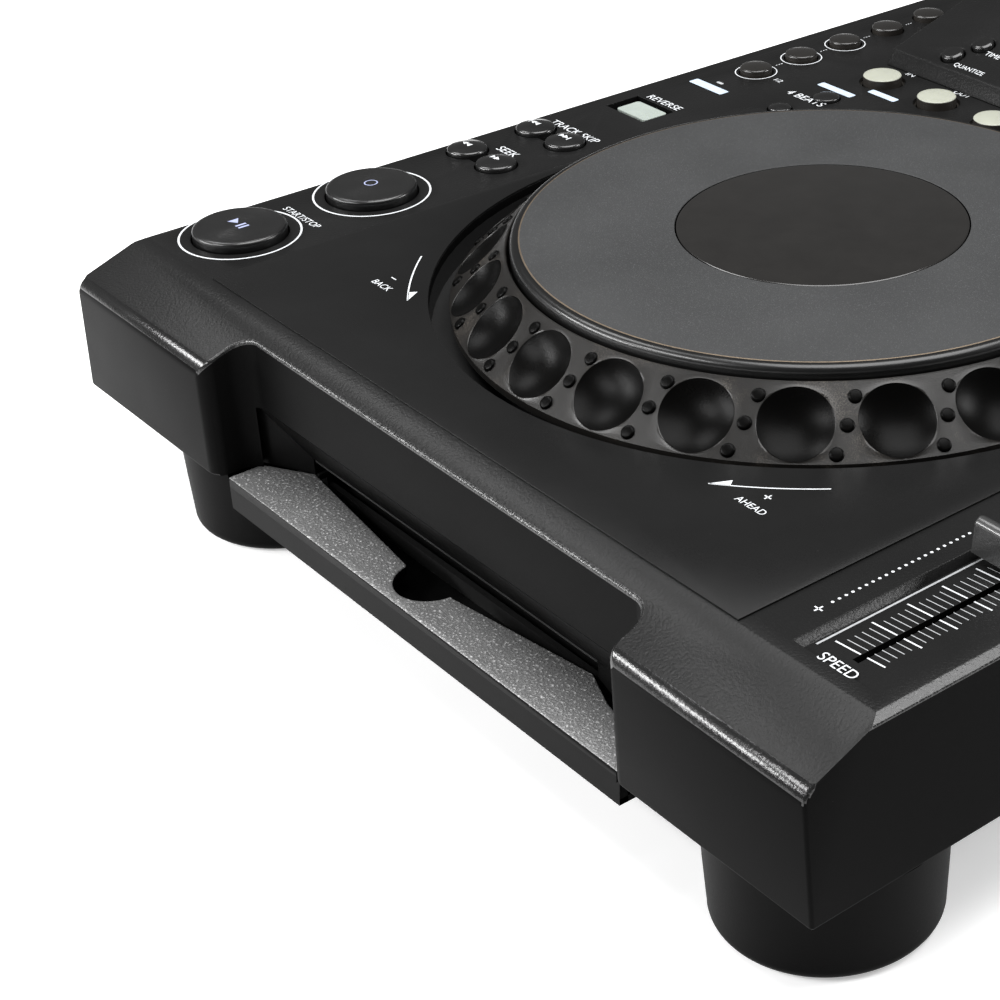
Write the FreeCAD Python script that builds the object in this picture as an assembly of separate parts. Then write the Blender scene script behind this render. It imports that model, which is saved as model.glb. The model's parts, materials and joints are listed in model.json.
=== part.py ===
import FreeCAD, Part
import math
import os

V = FreeCAD.Vector
os.makedirs("parts", exist_ok=True)

# Overall body, millimetres. X to the right, Y to the back, Z up from under the feet.
WIDTH = 305.0
DEPTH = 385.0
HEIGHT = 106.5
PANEL_Z = 66.5          # flat top panel above the table
SKIRT_Z = 26.5          # lower edge of the cover
DRAFT = 2.1             # each side leans in by this much at the top
WALL = 2.5
BEVEL = 2.2             # bevel along the long top edges
BEVEL_DROP = 1.2
SHOULDER = 21.0         # length of the sloped front shoulder
SHOULDER_DEG = 20.4
NOSE_R = 5.0
GAP = 0.3               # clearance between pieces that move or come apart

# Front recess and disc slot
RECESS_X0 = -82.0
RECESS_X1 = 87.5
RECESS_DEPTH = 13.3
RECESS_WALL_Z = 44.2
SLOT_W = 123.0
SLOT_H = 4.8
SLOT_BACK = 20.3        # from the front face to the slot mouth
LIP_FRONT = 2.8
LIP_H = 9.3
LIP_T = 2.4
NOTCH_R = 9.3

# Jog dial
JOG_X = -5.5
JOG_Y = -49.8
PIT_R = 103.8
RING_R = 98.5
RING_TOP_R = 83.4
RING_RISE = 13.5
RING_Z = 64.8           # widest edge of the ring
PLATTER_R = 82.0
WINDOW_R = 38.7
PLATTER_Z = 81.5
DIMPLES = 24
DIMPLE_R = 9.2
DIMPLE_DEPTH = 2.5
BOWL_FLOOR_R = 4.6
BUMP_R = 1.1
GEAR_MODULE = 1.5
GEAR_TEETH = 80
PINION_TEETH = 14
POST_R = 7.95
BUSH_CLEAR = 0.05

# Button columns
COLUMN_X = -133.0
PLAY_Y = -151.8
CUE_Y = -109.9
PLAY_R = 12.9
BEAT_Y = 33.8
BEAT_PITCH = 19.25
BEAT_COUNT = 5
MODE_Y = 136.7
BEAT_R = 5.2
LOOP_Y = 57.9
LOOP_PITCH = 25.0
LOOP_X = -99.4
LOOP_R = 6.2
SEARCH_R = 6.0
SEARCH_PITCH = 15.0
SEARCH_Y = -72.3
SKIP_Y = -47.6
KEY_X = -133.1
KEY_Y = -13.4

# Speed fader
FADER_X = 132.0
FADER_Y = -110.0
FADER_TRAVEL = 100.0
SLIT_W = 1.8
POCKET_X0 = 119.0
POCKET_X1 = 144.0
POCKET_END = 7.6
POCKET_DEPTH = 1.9
DIVIDER_X = 106.4

# Screen housing
SCREEN_X0 = -110.0
SCREEN_X1 = 146.0
SCREEN_FOOT_Y = 69.0
SCREEN_STEP = 5.0
SCREEN_STEP_RUN = 3.0
SCREEN_BACK_Y = 186.0
WINDOW_W = 126.0
WINDOW_D = 66.0
WINDOW_X = -2.0
WINDOW_Y = 130.0

# Underside
FLOOR_Z = 24.9
FLOOR_T = 1.6
PAN_Z = 17.5
PAN_X = 84.0
PAN_Y0 = -168.0
PAN_Y1 = 40.0
FOOT_R = 26.9
FOOT_TIP_R = 25.7
FOOT_PLACES = ((-98.9, -163.8), (124.0, -163.8), (-98.9, 160.0), (124.0, 160.0))

# Disc drive
DISC_X = -5.5
DISC_Y = -97.0
DISC_Z = 28.9
SLED_TRAVEL = 34.0
SCREW_LEAD = 3.0

FRONT = -DEPTH / 2
BACK = DEPTH / 2
TAN_S = math.tan(math.radians(SHOULDER_DEG))
UNDER_Z = PANEL_Z - WALL
SCREEN_RISE = HEIGHT - PANEL_Z
SCREEN_TOP_Y0 = SCREEN_FOOT_Y + SCREEN_STEP_RUN
TILT = math.atan2(SCREEN_RISE - SCREEN_STEP, SCREEN_BACK_Y - SCREEN_TOP_Y0)
RECESS_Y = FRONT + RECESS_DEPTH
SLOT_Y = FRONT + SLOT_BACK
SLOT_Z = SKIRT_Z - 0.2
BOARD_Z = 56.0
BOARD_T = 1.6
BOARD_TOP = BOARD_Z + BOARD_T
FLANGE_LIMIT = WIDTH / 2 - DRAFT - BEVEL - 1.9


def save(name, shape):
    shape.exportStep("parts/" + name + ".step")


def box(x0, x1, y0, y1, z0, z1):
    return Part.makeBox(x1 - x0, y1 - y0, z1 - z0, V(x0, y0, z0))


def cyl(x, y, z0, z1, r):
    return Part.makeCylinder(r, z1 - z0, V(x, y, z0))


def tube(x, y, z0, z1, r_out, r_in):
    return cyl(x, y, z0, z1, r_out).cut(cyl(x, y, z0 - 1, z1 + 1, r_in))


def rod(axis, start, length, r):
    return Part.makeCylinder(r, length, V(*start), V(*axis))


def outline(points, z):
    """Closed plan outline through (x, y, corner radius)."""
    edges = []
    ends = []
    count = len(points)
    for i in range(count):
        p = V(points[i][0], points[i][1], z)
        a = V(points[i - 1][0], points[i - 1][1], z) - p
        b = V(points[(i + 1) % count][0], points[(i + 1) % count][1], z) - p
        r = points[i][2] if len(points[i]) > 2 else 0
        if r == 0:
            ends.append((p, p))
            continue
        a.normalize()
        b.normalize()
        half = a.getAngle(b) / 2
        run = r / math.tan(half)
        start = p + a * run
        end = p + b * run
        mid_dir = a + b
        mid_dir.normalize()
        middle = p + mid_dir * (r / math.sin(half) - r)
        edges.append(Part.Arc(start, middle, end).toShape())
        ends.append((start, end))
    for i in range(count):
        start = ends[i - 1][1]
        end = ends[i][0]
        if start.distanceToPoint(end) > 1e-6:
            edges.append(Part.LineSegment(start, end).toShape())
    return Part.Wire(Part.__sortEdges__(edges))


def plate(points, z0, z1):
    return Part.Face(outline(points, z0)).extrude(V(0, 0, z1 - z0))


def side_prism(points, x0, x1):
    """Solid with the (y, z) outline, along X."""
    wire = Part.makePolygon([V(x0, y, z) for y, z in points + points[:1]])
    return Part.Face(wire).extrude(V(x1 - x0, 0, 0))


def front_prism(points, y0, y1):
    """Solid with the (x, z) outline, along Y."""
    wire = Part.makePolygon([V(x, y0, z) for x, z in points + points[:1]])
    return Part.Face(wire).extrude(V(0, y1 - y0, 0))


def turned(points, x=0.0, y=0.0):
    """Solid of revolution about a vertical axis, from (radius, z)."""
    wire = Part.makePolygon([V(r, 0, z) for r, z in points + points[:1]])
    solid = Part.Face(wire).revolve(V(0, 0, 0), V(0, 0, 1), 360)
    solid.translate(V(x, y, 0))
    return solid


def dome(x, y, z0, z1, r, crown):
    """Round cap whose top edge falls away by crown."""
    return cyl(x, y, z0, z1 - crown, r).fuse(Part.makeCone(r, r - 1.5 * crown, crown, V(x, y, z1 - crown)))


def gear(teeth, z0, z1, x, y, turn, bore):
    """Spur gear with straight-sided teeth, thinned for backlash."""
    pitch_r = GEAR_MODULE * teeth / 2
    root = pitch_r - 1.15 * GEAR_MODULE
    tip = pitch_r + 0.85 * GEAR_MODULE
    root_half = 0.94 * GEAR_MODULE / root
    tip_half = 0.38 * GEAR_MODULE / tip
    points = []
    for i in range(teeth):
        middle = turn + 2 * math.pi * i / teeth
        points.append((root, middle - root_half))
        points.append((tip, middle - tip_half))
        points.append((tip, middle + tip_half))
        points.append((root, middle + root_half))
    corners = [V(x + r * math.cos(a), y + r * math.sin(a), z0) for r, a in points]
    face = Part.Face(Part.makePolygon(corners + corners[:1]))
    return face.extrude(V(0, 0, z1 - z0)).cut(cyl(x, y, z0 - 1, z1 + 1, bore))


def body_form(inset, z_low):
    """The cover's outer form, or its inside when inset is the wall."""
    top = PANEL_Z - inset
    half_low = WIDTH / 2 - inset
    half_top = half_low - DRAFT
    drop = BEVEL_DROP
    cross = [(-half_low, z_low), (-half_top, top - drop), (-half_top + BEVEL, top),
             (half_top - BEVEL, top), (half_top, top - drop), (half_low, z_low)]
    across = front_prism(cross, FRONT, BACK)
    front = FRONT + inset
    knee = FRONT + SHOULDER
    nose_z = top - (knee - front) * TAN_S
    run = NOSE_R * math.tan(math.radians(90 - SHOULDER_DEG) / 2)
    slope = math.radians(SHOULDER_DEG)
    on_slope = V(-WIDTH, front + run * math.cos(slope), nose_z + run * math.sin(slope))
    on_face = V(-WIDTH, front, nose_z - run)
    centre = V(-WIDTH, front + NOSE_R, nose_z - run)
    turn = math.radians(180 - (90 - SHOULDER_DEG) / 2)
    middle = centre + V(0, NOSE_R * math.cos(turn), NOSE_R * math.sin(turn))
    corners = [V(-WIDTH, knee, top), V(-WIDTH, BACK - inset, top), V(-WIDTH, BACK - inset, z_low),
               V(-WIDTH, front, z_low), on_face]
    edges = [Part.makePolygon(corners), Part.Arc(on_face, middle, on_slope).toShape(),
             Part.LineSegment(on_slope, corners[0]).toShape()]
    wire = Part.Wire(Part.__sortEdges__([e for piece in edges for e in piece.Edges]))
    along = Part.Face(wire).extrude(V(2 * WIDTH, 0, 0))
    return across.common(along)


def recess_form(grow, z0, z1):
    """Plan form of the front recess; grow makes the wall round it."""
    y = RECESS_Y + grow
    x0 = RECESS_X0 - grow
    x1 = RECESS_X1 + grow
    inner = 6.0 + grow
    outer = 4.0 - grow * 0.5
    far = FRONT - 8
    points = [(x0 - 28, far), (x0 - 28, FRONT), (x0, FRONT, outer), (x0, y, inner),
              (x1, y, inner), (x1, FRONT, outer), (x1 + 28, FRONT), (x1 + 28, far)]
    return plate(points, z0, z1)


def round_buttons():
    """Every round button of the flat panel: name, x, y, cap radius, cap height, crown."""
    rows = [("play_button", COLUMN_X + 0.2, PLAY_Y, PLAY_R, 3.2, 0.8),
            ("cue_button", COLUMN_X + 0.2, CUE_Y, PLAY_R, 3.2, 0.8)]
    half = SEARCH_PITCH / 2
    for name, y in (("search", SEARCH_Y), ("skip", SKIP_Y)):
        rows.append((name + "_back_button", COLUMN_X - half, y, SEARCH_R, 2.6, 1.5))
        rows.append((name + "_forward_button", COLUMN_X + half, y, SEARCH_R, 2.6, 1.5))
    for i in range(BEAT_COUNT):
        rows.append(("beat_button_%d" % (i + 1), COLUMN_X - 0.4, BEAT_Y + i * BEAT_PITCH, BEAT_R, 2.6, 0.9))
    rows.append(("mode_button", COLUMN_X - 1.8, MODE_Y, BEAT_R, 2.6, 0.9))
    for i, name in enumerate(("loop_in_button", "loop_out_button", "reloop_button")):
        rows.append((name, LOOP_X + i * LOOP_PITCH, LOOP_Y, LOOP_R, 3.0, 0.7))
    rows.append(("four_beat_button", -100.3, 34.7, 4.2, 1.8, 0.9))
    rows.append(("slip_button", -103.6, 18.4, 3.6, 1.6, 0.8))
    rows.append(("speed_lock_button", FADER_X, -34.0, 5.2, 2.4, 0.9))
    return rows


def well_radius(r):
    return r + (1.2 if r == LOOP_R else 0.45)


def on_screen(x, run, lift=0.0):
    """Point on the tilted housing, run along its slope from its front edge."""
    y = SCREEN_TOP_Y0 + run * math.cos(TILT) - lift * math.sin(TILT)
    z = PANEL_Z + SCREEN_STEP + run * math.sin(TILT) + lift * math.cos(TILT)
    return V(x, y, z)


SCREEN_NORMAL = V(0, -math.sin(TILT), math.cos(TILT))
SCREEN_BUTTONS = (("quantize_button", -88.0, 6.4, 3.6), ("time_button", -82.8, 15.2, 3.5),
                  ("back_button", 90.0, 84.0, 4.2), ("menu_button", 126.0, 84.0, 4.2))
SELECTOR = (112.0, 56.0, 12.0)
SPEED_KNOB_Y = 20.0
KNOB_R = 7.0


def screen_cyl(x, run, low, high, r):
    return Part.makeCylinder(r, high - low, on_screen(x, run, low), SCREEN_NORMAL)


def make_cover():
    cover = body_form(0.0, SKIRT_Z)
    inside = body_form(WALL, SKIRT_Z - 1).cut(recess_form(WALL, SKIRT_Z - 2, PANEL_Z + 1))
    cover = cover.cut(inside).cut(recess_form(0.0, SKIRT_Z - 2, PANEL_Z + 1))
    # The recess's wall ends above the slot frame.
    below = box(RECESS_X0 + 0.01, RECESS_X1 - 0.01, RECESS_Y - 1, RECESS_Y + 9, SKIRT_Z - 1, RECESS_WALL_Z)
    cover = cover.cut(below)
    cover = cover.cut(cyl(JOG_X, JOG_Y, UNDER_Z - 1, PANEL_Z + 1, PIT_R))
    # Wells of the round buttons; each search pair shares one obround.
    for name, x, y, r, height, crown in round_buttons():
        cover = cover.cut(cyl(x, y, UNDER_Z - 1, PANEL_Z + 1, well_radius(r)))
    for y in (SEARCH_Y, SKIP_Y):
        half = SEARCH_PITCH / 2
        cover = cover.cut(box(COLUMN_X - half, COLUMN_X + half, y - 3.2, y + 3.2, UNDER_Z - 1, PANEL_Z + 1))
    cover = cover.cut(box(KEY_X - 9.3, KEY_X + 9.3, KEY_Y - 6.2, KEY_Y + 6.2, UNDER_Z - 1, PANEL_Z + 1))
    cover = cover.cut(cyl(FADER_X, SPEED_KNOB_Y, UNDER_Z - 1, PANEL_Z + 1, 3.3))
    # The fader's ramp: deepest at its left wall, level with the panel at its right.
    y0 = FADER_Y - FADER_TRAVEL / 2 - POCKET_END
    y1 = FADER_Y + FADER_TRAVEL / 2 + POCKET_END
    ramp = front_prism([(POCKET_X0, PANEL_Z + 0.01), (POCKET_X0 + 1.4, PANEL_Z - POCKET_DEPTH),
                        (POCKET_X1, PANEL_Z + 0.01)], y0, y1)
    slit = box(FADER_X - SLIT_W / 2, FADER_X + SLIT_W / 2, y0 + 5.2, y1 - 5.2, UNDER_Z - 1, PANEL_Z + 1)
    cover = cover.cut(ramp).cut(slit)
    # Opening under the screen housing, and the rear panel's window.
    well_y = SCREEN_FOOT_Y + 8
    cover = cover.cut(box(SCREEN_X0 + 8, SCREEN_X1 - 8, well_y, SCREEN_BACK_Y - 8, UNDER_Z - 1, PANEL_Z + 1))
    jack_x = JACK_X - 1.2
    cover = cover.cut(box(-jack_x, jack_x, BACK - WALL - 1, BACK + 1, SKIRT_Z - 1, JACK_TOP - 1.2))
    return cover


def make_surround():
    """Thin raised plate round the dial, from the button column to the fader section."""
    y0 = FRONT + SHOULDER
    points = [(-112.0, y0), (DIVIDER_X, y0), (DIVIDER_X, 62.0), (70.0, 62.0), (-70.0, 40.0), (-112.0, 10.0)]
    sheet = plate(points, PANEL_Z, PANEL_Z + 0.5)
    sheet = sheet.cut(cyl(JOG_X, JOG_Y, PANEL_Z - 1, PANEL_Z + 2, PIT_R))
    return sheet.cut(cyl(-103.6, 18.4, PANEL_Z - 1, PANEL_Z + 2, 5.0))


def make_slot_frame():
    """Block behind the recess wall with a funnel down to the disc slot."""
    half = SLOT_W / 2
    x0 = JOG_X - half
    x1 = JOG_X + half
    back = RECESS_Y + 16.0
    block = box(RECESS_X0 + 0.02, RECESS_X1 - 0.02, RECESS_Y + 0.01, back, SKIRT_Z, RECESS_WALL_Z)
    block = block.cut(recess_form(0.0, SKIRT_Z - 1, PANEL_Z))

    def ring(ax0, ax1, y, z0, z1):
        corners = [V(ax0, y, z0), V(ax1, y, z0), V(ax1, y, z1), V(ax0, y, z1)]
        return Part.makePolygon(corners + corners[:1])

    slot_top = SLOT_Z + SLOT_H
    mouth = Part.makeLoft([ring(RECESS_X0, RECESS_X1, RECESS_Y - 0.1, SKIRT_Z - 1, RECESS_WALL_Z - 0.1),
                           ring(x0, x1, SLOT_Y, SKIRT_Z - 1, slot_top)], True, True)
    through = box(x0, x1, SLOT_Y - 0.1, back + 1, SKIRT_Z - 1, slot_top)
    felt_bed = box(x0 + 9, x1 - 4, SLOT_Y + 1.0, SLOT_Y + 5.0, slot_top - 1, slot_top + 5.0)
    return block.cut(mouth).cut(through).cut(felt_bed)


def make_felt():
    slot_top = SLOT_Z + SLOT_H
    half = SLOT_W / 2
    x0 = JOG_X - half + 9.3
    x1 = JOG_X + half - 4.3
    return box(x0, x1, SLOT_Y + 1.3, SLOT_Y + 4.7, slot_top - 0.2, slot_top + 4.7)


def make_lip():
    """Plate below the slot: a straight apron in front, a shallow V and a finger notch at the back."""
    x0 = RECESS_X0 + 1.2
    x1 = RECESS_X1 - 1.2
    y0 = FRONT + LIP_FRONT
    half = SLOT_W / 2
    z1 = SKIRT_Z
    points = [(x0, y0), (x1, y0), (x1, -180.6), (JOG_X + half + 9, -176.4), (JOG_X + half - 2, SLOT_Y),
              (JOG_X, -178.6), (JOG_X - half, SLOT_Y), (x0, -179.9)]
    top = plate(points, z1 - LIP_T, z1)
    top = top.cut(cyl(JOG_X + 1.5, -177.0, z1 - 10, z1 + 1, NOTCH_R))
    apron = box(x0, x1, y0, y0 + LIP_T, z1 - LIP_H, z1 - LIP_T)
    foot = box(x0, x1, y0, PAN_Y0 - FLOOR_T, z1 - LIP_H, z1 - LIP_H + 1.6)
    return top.fuse([apron, foot]).removeSplitter()


def make_chassis():
    """Steel tray: a floor with a deeper pan for the drive."""
    edge = WIDTH / 2 - WALL - GAP
    front = FRONT + WALL + GAP
    x0 = RECESS_X0 - WALL - 5
    x1 = RECESS_X1 + WALL + 5
    step_y = RECESS_Y + WALL + 5
    back = BACK - WALL - GAP
    points = [(-edge, front), (x0, front), (x0, step_y), (x1, step_y), (x1, front), (edge, front),
              (edge, back), (-edge, back)]
    floor = plate(points, FLOOR_Z, FLOOR_Z + FLOOR_T)
    hole = box(-PAN_X, PAN_X, PAN_Y0, PAN_Y1, PAN_Z + FLOOR_T, FLOOR_Z + FLOOR_T + 1)
    pan = box(-PAN_X - FLOOR_T, PAN_X + FLOOR_T, PAN_Y0 - FLOOR_T, PAN_Y1 + FLOOR_T, PAN_Z, FLOOR_Z + FLOOR_T)
    tray = floor.fuse(pan).removeSplitter().cut(hole)
    # Side walls folded up inside the cover.
    for side in (-1, 1):
        x = side * (edge - 1.0)
        tray = tray.fuse(box(min(x, x - side * 1.6), max(x, x - side * 1.6), -150, 180, FLOOR_Z, 42))
    # Slot side of the pan is open for the disc.
    return tray.cut(box(-66, 62, PAN_Y0 - 6, PAN_Y0 + 4, 23.0, 40)).removeSplitter()


def make_feet():
    feet = []
    for x, y in FOOT_PLACES:
        arc_r = 3.0
        foot = turned([(5.0, 0), (FOOT_TIP_R - arc_r, 0), (FOOT_TIP_R, arc_r), (FOOT_R, FLOOR_Z),
                       (2.2, FLOOR_Z), (2.2, 14), (5.0, 14)], x, y)
        # The pan and the lip pass over a corner of the front left foot.
        corner = box(-PAN_X - FLOOR_T - 0.02, PAN_X, FRONT, PAN_Y1, SKIRT_Z - LIP_H - 0.02, SKIRT_Z)
        feet.append(foot.cut(corner))
    return Part.makeCompound(feet)


def make_foot_screws():
    screws = []
    for x, y in FOOT_PLACES:
        screws.append(cyl(x, y, 11.2, 14.0, 4.2).fuse(cyl(x, y, 14.0, FLOOR_Z, 2.1)))
    return Part.makeCompound(screws)


def make_jog_base():
    """Fixed dish under the dial, with the post that carries it."""
    floor = tube(JOG_X, JOG_Y, 56.0, 58.0, PIT_R + 1.6, POST_R - 2.5)
    wall = tube(JOG_X, JOG_Y, 58.0, UNDER_Z, PIT_R + 1.6, PIT_R)
    post = tube(JOG_X, JOG_Y, 56.0, 70.0, POST_R, POST_R - 2.5)
    flange = tube(JOG_X, JOG_Y, 70.0, 71.5, 12.0, POST_R - 2.5)
    base = floor.fuse([wall, post, flange]).removeSplitter()
    px, py = pinion_place()
    return base.cut(cyl(px, py, 50, 60, 2.2))


def pinion_place():
    reach = GEAR_MODULE * (GEAR_TEETH + PINION_TEETH) / 2
    return (JOG_X + reach * math.cos(math.radians(60)), JOG_Y + reach * math.sin(math.radians(60)))


def make_jog_ring():
    """Conical grip ring with round bowls and rows of three studs between them."""
    top_z = RING_Z + RING_RISE
    inner = RING_TOP_R - 0.6
    ring = turned([(RING_R, 62.3), (RING_R, RING_Z), (RING_TOP_R, top_z), (inner, top_z), (inner, 66.2),
                   (inner + 2.1, 66.2), (inner + 2.1, 70.2), (RING_R - 5.7, 62.3)])
    slant = math.atan2(RING_R - RING_TOP_R, RING_RISE)
    middle_r = (RING_R + RING_TOP_R) / 2 + 0.5
    cutters = []
    studs = []
    for i in range(DIMPLES):
        angle = math.radians(-60.4 + 360.0 / DIMPLES * i)
        rim = cone_point(middle_r, angle, 0.5, slant)
        floor = cone_point(middle_r, angle, -DIMPLE_DEPTH, slant)
        wide = DIMPLE_R + 0.5 * (DIMPLE_R - BOWL_FLOOR_R) / DIMPLE_DEPTH
        cutters.append(bowl(rim, floor, wide))
        for r, step in ((middle_r - 5.3, 1.5), (middle_r, 0.0), (middle_r + 5.3, -1.7)):
            turn = angle + math.radians(180.0 / DIMPLES + step)
            foot = cone_point(r, turn, -0.3, slant)
            tip = cone_point(r, turn, 0.6, slant)
            studs.append(stud(foot, tip))
    ring = ring.cut(Part.makeCompound(cutters)).fuse(studs)
    ring.translate(V(JOG_X, JOG_Y, 0))
    return ring


def bowl(rim, floor, wide):
    """Bowl-shaped cutter with sixteen flat sides."""
    down = floor - rim
    side = down.cross(V(0, 0, 1))
    side.normalize()
    other = down.cross(side)
    other.normalize()
    wires = []
    for centre, r in ((rim, wide), (floor, BOWL_FLOOR_R)):
        corners = []
        for i in range(16):
            a = math.pi / 8 * i
            corners.append(centre + side * (r * math.cos(a)) + other * (r * math.sin(a)))
        wires.append(Part.makePolygon(corners + corners[:1]))
    return Part.makeLoft(wires, True, True)


def stud(foot, tip):
    """Short six-sided stud of the ring."""
    along = tip - foot
    side = along.cross(V(0, 0, 1))
    side.normalize()
    other = along.cross(side)
    other.normalize()
    corners = []
    for i in range(6):
        a = math.pi / 3 * i
        corners.append(foot + side * (BUMP_R * math.cos(a)) + other * (BUMP_R * math.sin(a)))
    return Part.Face(Part.makePolygon(corners + corners[:1])).extrude(along)


def cone_point(r, angle, out, slant):
    """Point on the ring's cone, moved out along its normal."""
    z = RING_Z + (RING_R - r) * RING_RISE / (RING_R - RING_TOP_R)
    reach = r + out * math.cos(slant)
    return V(reach * math.cos(angle), reach * math.sin(angle), z + out * math.sin(slant))


def make_jog_hub():
    """Disc that carries the ring, with a sleeve on the post and a gear below."""
    bore = POST_R + BUSH_CLEAR
    disc = tube(JOG_X, JOG_Y, 66.2, 68.2, RING_TOP_R - 0.6, bore)
    sleeve = tube(JOG_X, JOG_Y, 58.3, 66.2, 12.0, bore)
    wheel = gear(GEAR_TEETH, 60.4, 63.6, JOG_X, JOG_Y, math.radians(60), 55.5)
    web = tube(JOG_X, JOG_Y, 63.6, 66.2, 58.0, 55.5)
    return disc.fuse([sleeve, wheel, web]).removeSplitter()


def make_encoder_pinion():
    px, py = pinion_place()
    turn = math.radians(240 + 180.0 / PINION_TEETH)
    pinion = gear(PINION_TEETH, 60.4, 63.6, px, py, turn, 1.0)
    return pinion.fuse(cyl(px, py, 47.0, 63.6, 1.5)).removeSplitter()


def make_encoder():
    px, py = pinion_place()
    return box(px - 9, px + 9, py - 9, py + 9, 46.0, 55.9).cut(cyl(px, py, 46.8, 57, 1.55))


def make_platter():
    """Touch platter: flat annulus, rounded rim and a skirt ring that presses the sensor."""
    z = PLATTER_Z
    disc = turned([(WINDOW_R + 0.3, z - 1.8), (WINDOW_R + 0.3, z), (79.5, z), (81.0, z - 0.4),
                   (81.8, z - 1.2), (PLATTER_R, z - 2.4), (PLATTER_R, z - 6.0), (79.8, z - 6.0),
                   (79.8, z - 1.8)], JOG_X, JOG_Y)
    skirt = tube(JOG_X, JOG_Y, 68.2 + 0.8, z - 1.8, 63.0, 60.5)
    return disc.fuse(skirt).removeSplitter()


def make_jog_display():
    can = tube(JOG_X, JOG_Y, 71.5, 78.4, 36.0, POST_R - 2.5)
    return can.fuse(cyl(JOG_X, JOG_Y, 77.2, 79.4, 36.0)).removeSplitter()


def make_jog_window():
    return cyl(JOG_X, JOG_Y, 79.4, PLATTER_Z, WINDOW_R)


def make_round_button(x, y, r, height, crown):
    """Cap in its well, with a flange that holds it under the panel and a stem to its switch."""
    cap = dome(x, y, UNDER_Z - 0.4, PANEL_Z + height, r, crown)
    reach = well_radius(r) + 0.9
    flange = box(max(x - reach, -FLANGE_LIMIT), x + reach, y - reach, y + reach, UNDER_Z - 2.0, UNDER_Z - 0.4)
    stem = box(x - 1.8, x + 1.8, y - 1.8, y + 1.8, BOARD_TOP + 1.6, UNDER_Z - 2.0)
    return cap.fuse([flange, stem]).removeSplitter()


def make_direction_key():
    cap = box(KEY_X - 6.2, KEY_X + 8.2, KEY_Y - 4.6, KEY_Y + 4.2, UNDER_Z - 0.4, PANEL_Z - 0.4)
    cap = cap.makeFillet(0.7, [e for e in cap.Edges if e.BoundBox.ZMin > PANEL_Z - 1])
    flange = box(KEY_X - 10.2, KEY_X + 10.2, KEY_Y - 7.2, KEY_Y + 7.2, UNDER_Z - 2.0, UNDER_Z - 0.4)
    stem = cyl(KEY_X, KEY_Y, BOARD_TOP + 1.6, UNDER_Z - 2.0, 2.0)
    return cap.fuse([flange, stem]).removeSplitter()


def make_button_board():
    """Boards under the button columns, with a switch under each stem."""
    parts = [box(-147, -113, -174, 150, BOARD_Z, BOARD_TOP),
             box(-113, -92, 14.5, 68, BOARD_Z, BOARD_TOP),
             box(-92, -40, 54.2, 68, BOARD_Z, BOARD_TOP),
             box(122, 144, -46, 32, BOARD_Z, BOARD_TOP)]
    places = [(x, y) for name, x, y, r, height, crown in round_buttons()] + [(KEY_X, KEY_Y)]
    switches = [box(x - 2.5, x + 2.5, y - 2.5, y + 2.5, BOARD_TOP, BOARD_TOP + 0.3) for x, y in places]
    left = parts[0].fuse(parts[1:3] + [s for s in switches if s.CenterOfMass.x < 0]).removeSplitter()
    right = parts[3].fuse([s for s in switches if s.CenterOfMass.x > 0]).removeSplitter()
    # Spacers stand the boards on the chassis floor.
    floor = FLOOR_Z + FLOOR_T
    posts = [cyl(x, y, floor, BOARD_Z, 3.0) for x, y in ((-143, -168), (-143, 0), (-144, 145), (-118, 50))]
    right_posts = [cyl(x, y, floor, BOARD_Z, 3.0) for x, y in ((140, -38), (140, 27))]
    return Part.makeCompound([left.fuse(posts).removeSplitter(), right.fuse(right_posts).removeSplitter()])


def make_fader_unit():
    """Slide potentiometer under the slit."""
    y0 = FADER_Y - FADER_TRAVEL / 2 - 6
    y1 = FADER_Y + FADER_TRAVEL / 2 + 6
    can = box(FADER_X - 6, FADER_X + 6, y0, y1, 50.0, 58.0)
    can = can.cut(box(FADER_X - 4.5, FADER_X + 4.5, y0 + 1.2, y1 - 1.2, 51.2, 59))
    legs = [box(FADER_X - 6, FADER_X + 6, y, y + 1.2, FLOOR_Z + FLOOR_T, 50.0) for y in (y0, y1 - 1.2)]
    ears = [box(FADER_X - 5, FADER_X + 5, y, y + 3, 58.0, UNDER_Z) for y in (y0 - 4, y1 + 1)]
    ears += [box(FADER_X - 5, FADER_X + 5, y, y + 4.4, 56.8, 58.0) for y in (y0 - 4, y1 - 0.4)]
    return can.fuse(legs + ears).removeSplitter()


def make_fader_carriage():
    lug = box(FADER_X - 4.2, FADER_X + 4.2, FADER_Y - 4, FADER_Y + 4, 51.5, 57.0)
    blade = box(FADER_X - 0.6, FADER_X + 0.6, FADER_Y - 2, FADER_Y + 2, 57.0, PANEL_Z + 5)
    return lug.fuse(blade).removeSplitter()


def make_fader_knob():
    """Saddle-shaped cap: low in the middle, with a line across it."""
    half_x = 12.0
    half_y = 8.6
    z0 = PANEL_Z + 0.5
    knob = box(FADER_X - half_x, FADER_X + half_x, FADER_Y - half_y, FADER_Y + half_y, z0, z0 + 9.0)
    for side in (-1, 1):
        scoop = rod((1, 0, 0), (FADER_X - half_x - 1, FADER_Y + side * 10.4, z0 + 10.4), 2 * half_x + 2, 9.5)
        knob = knob.cut(scoop)
    slot = box(FADER_X - 0.6, FADER_X + 0.6, FADER_Y - 2, FADER_Y + 2, z0 - 1, PANEL_Z + 5)
    return knob.cut(slot)


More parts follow.
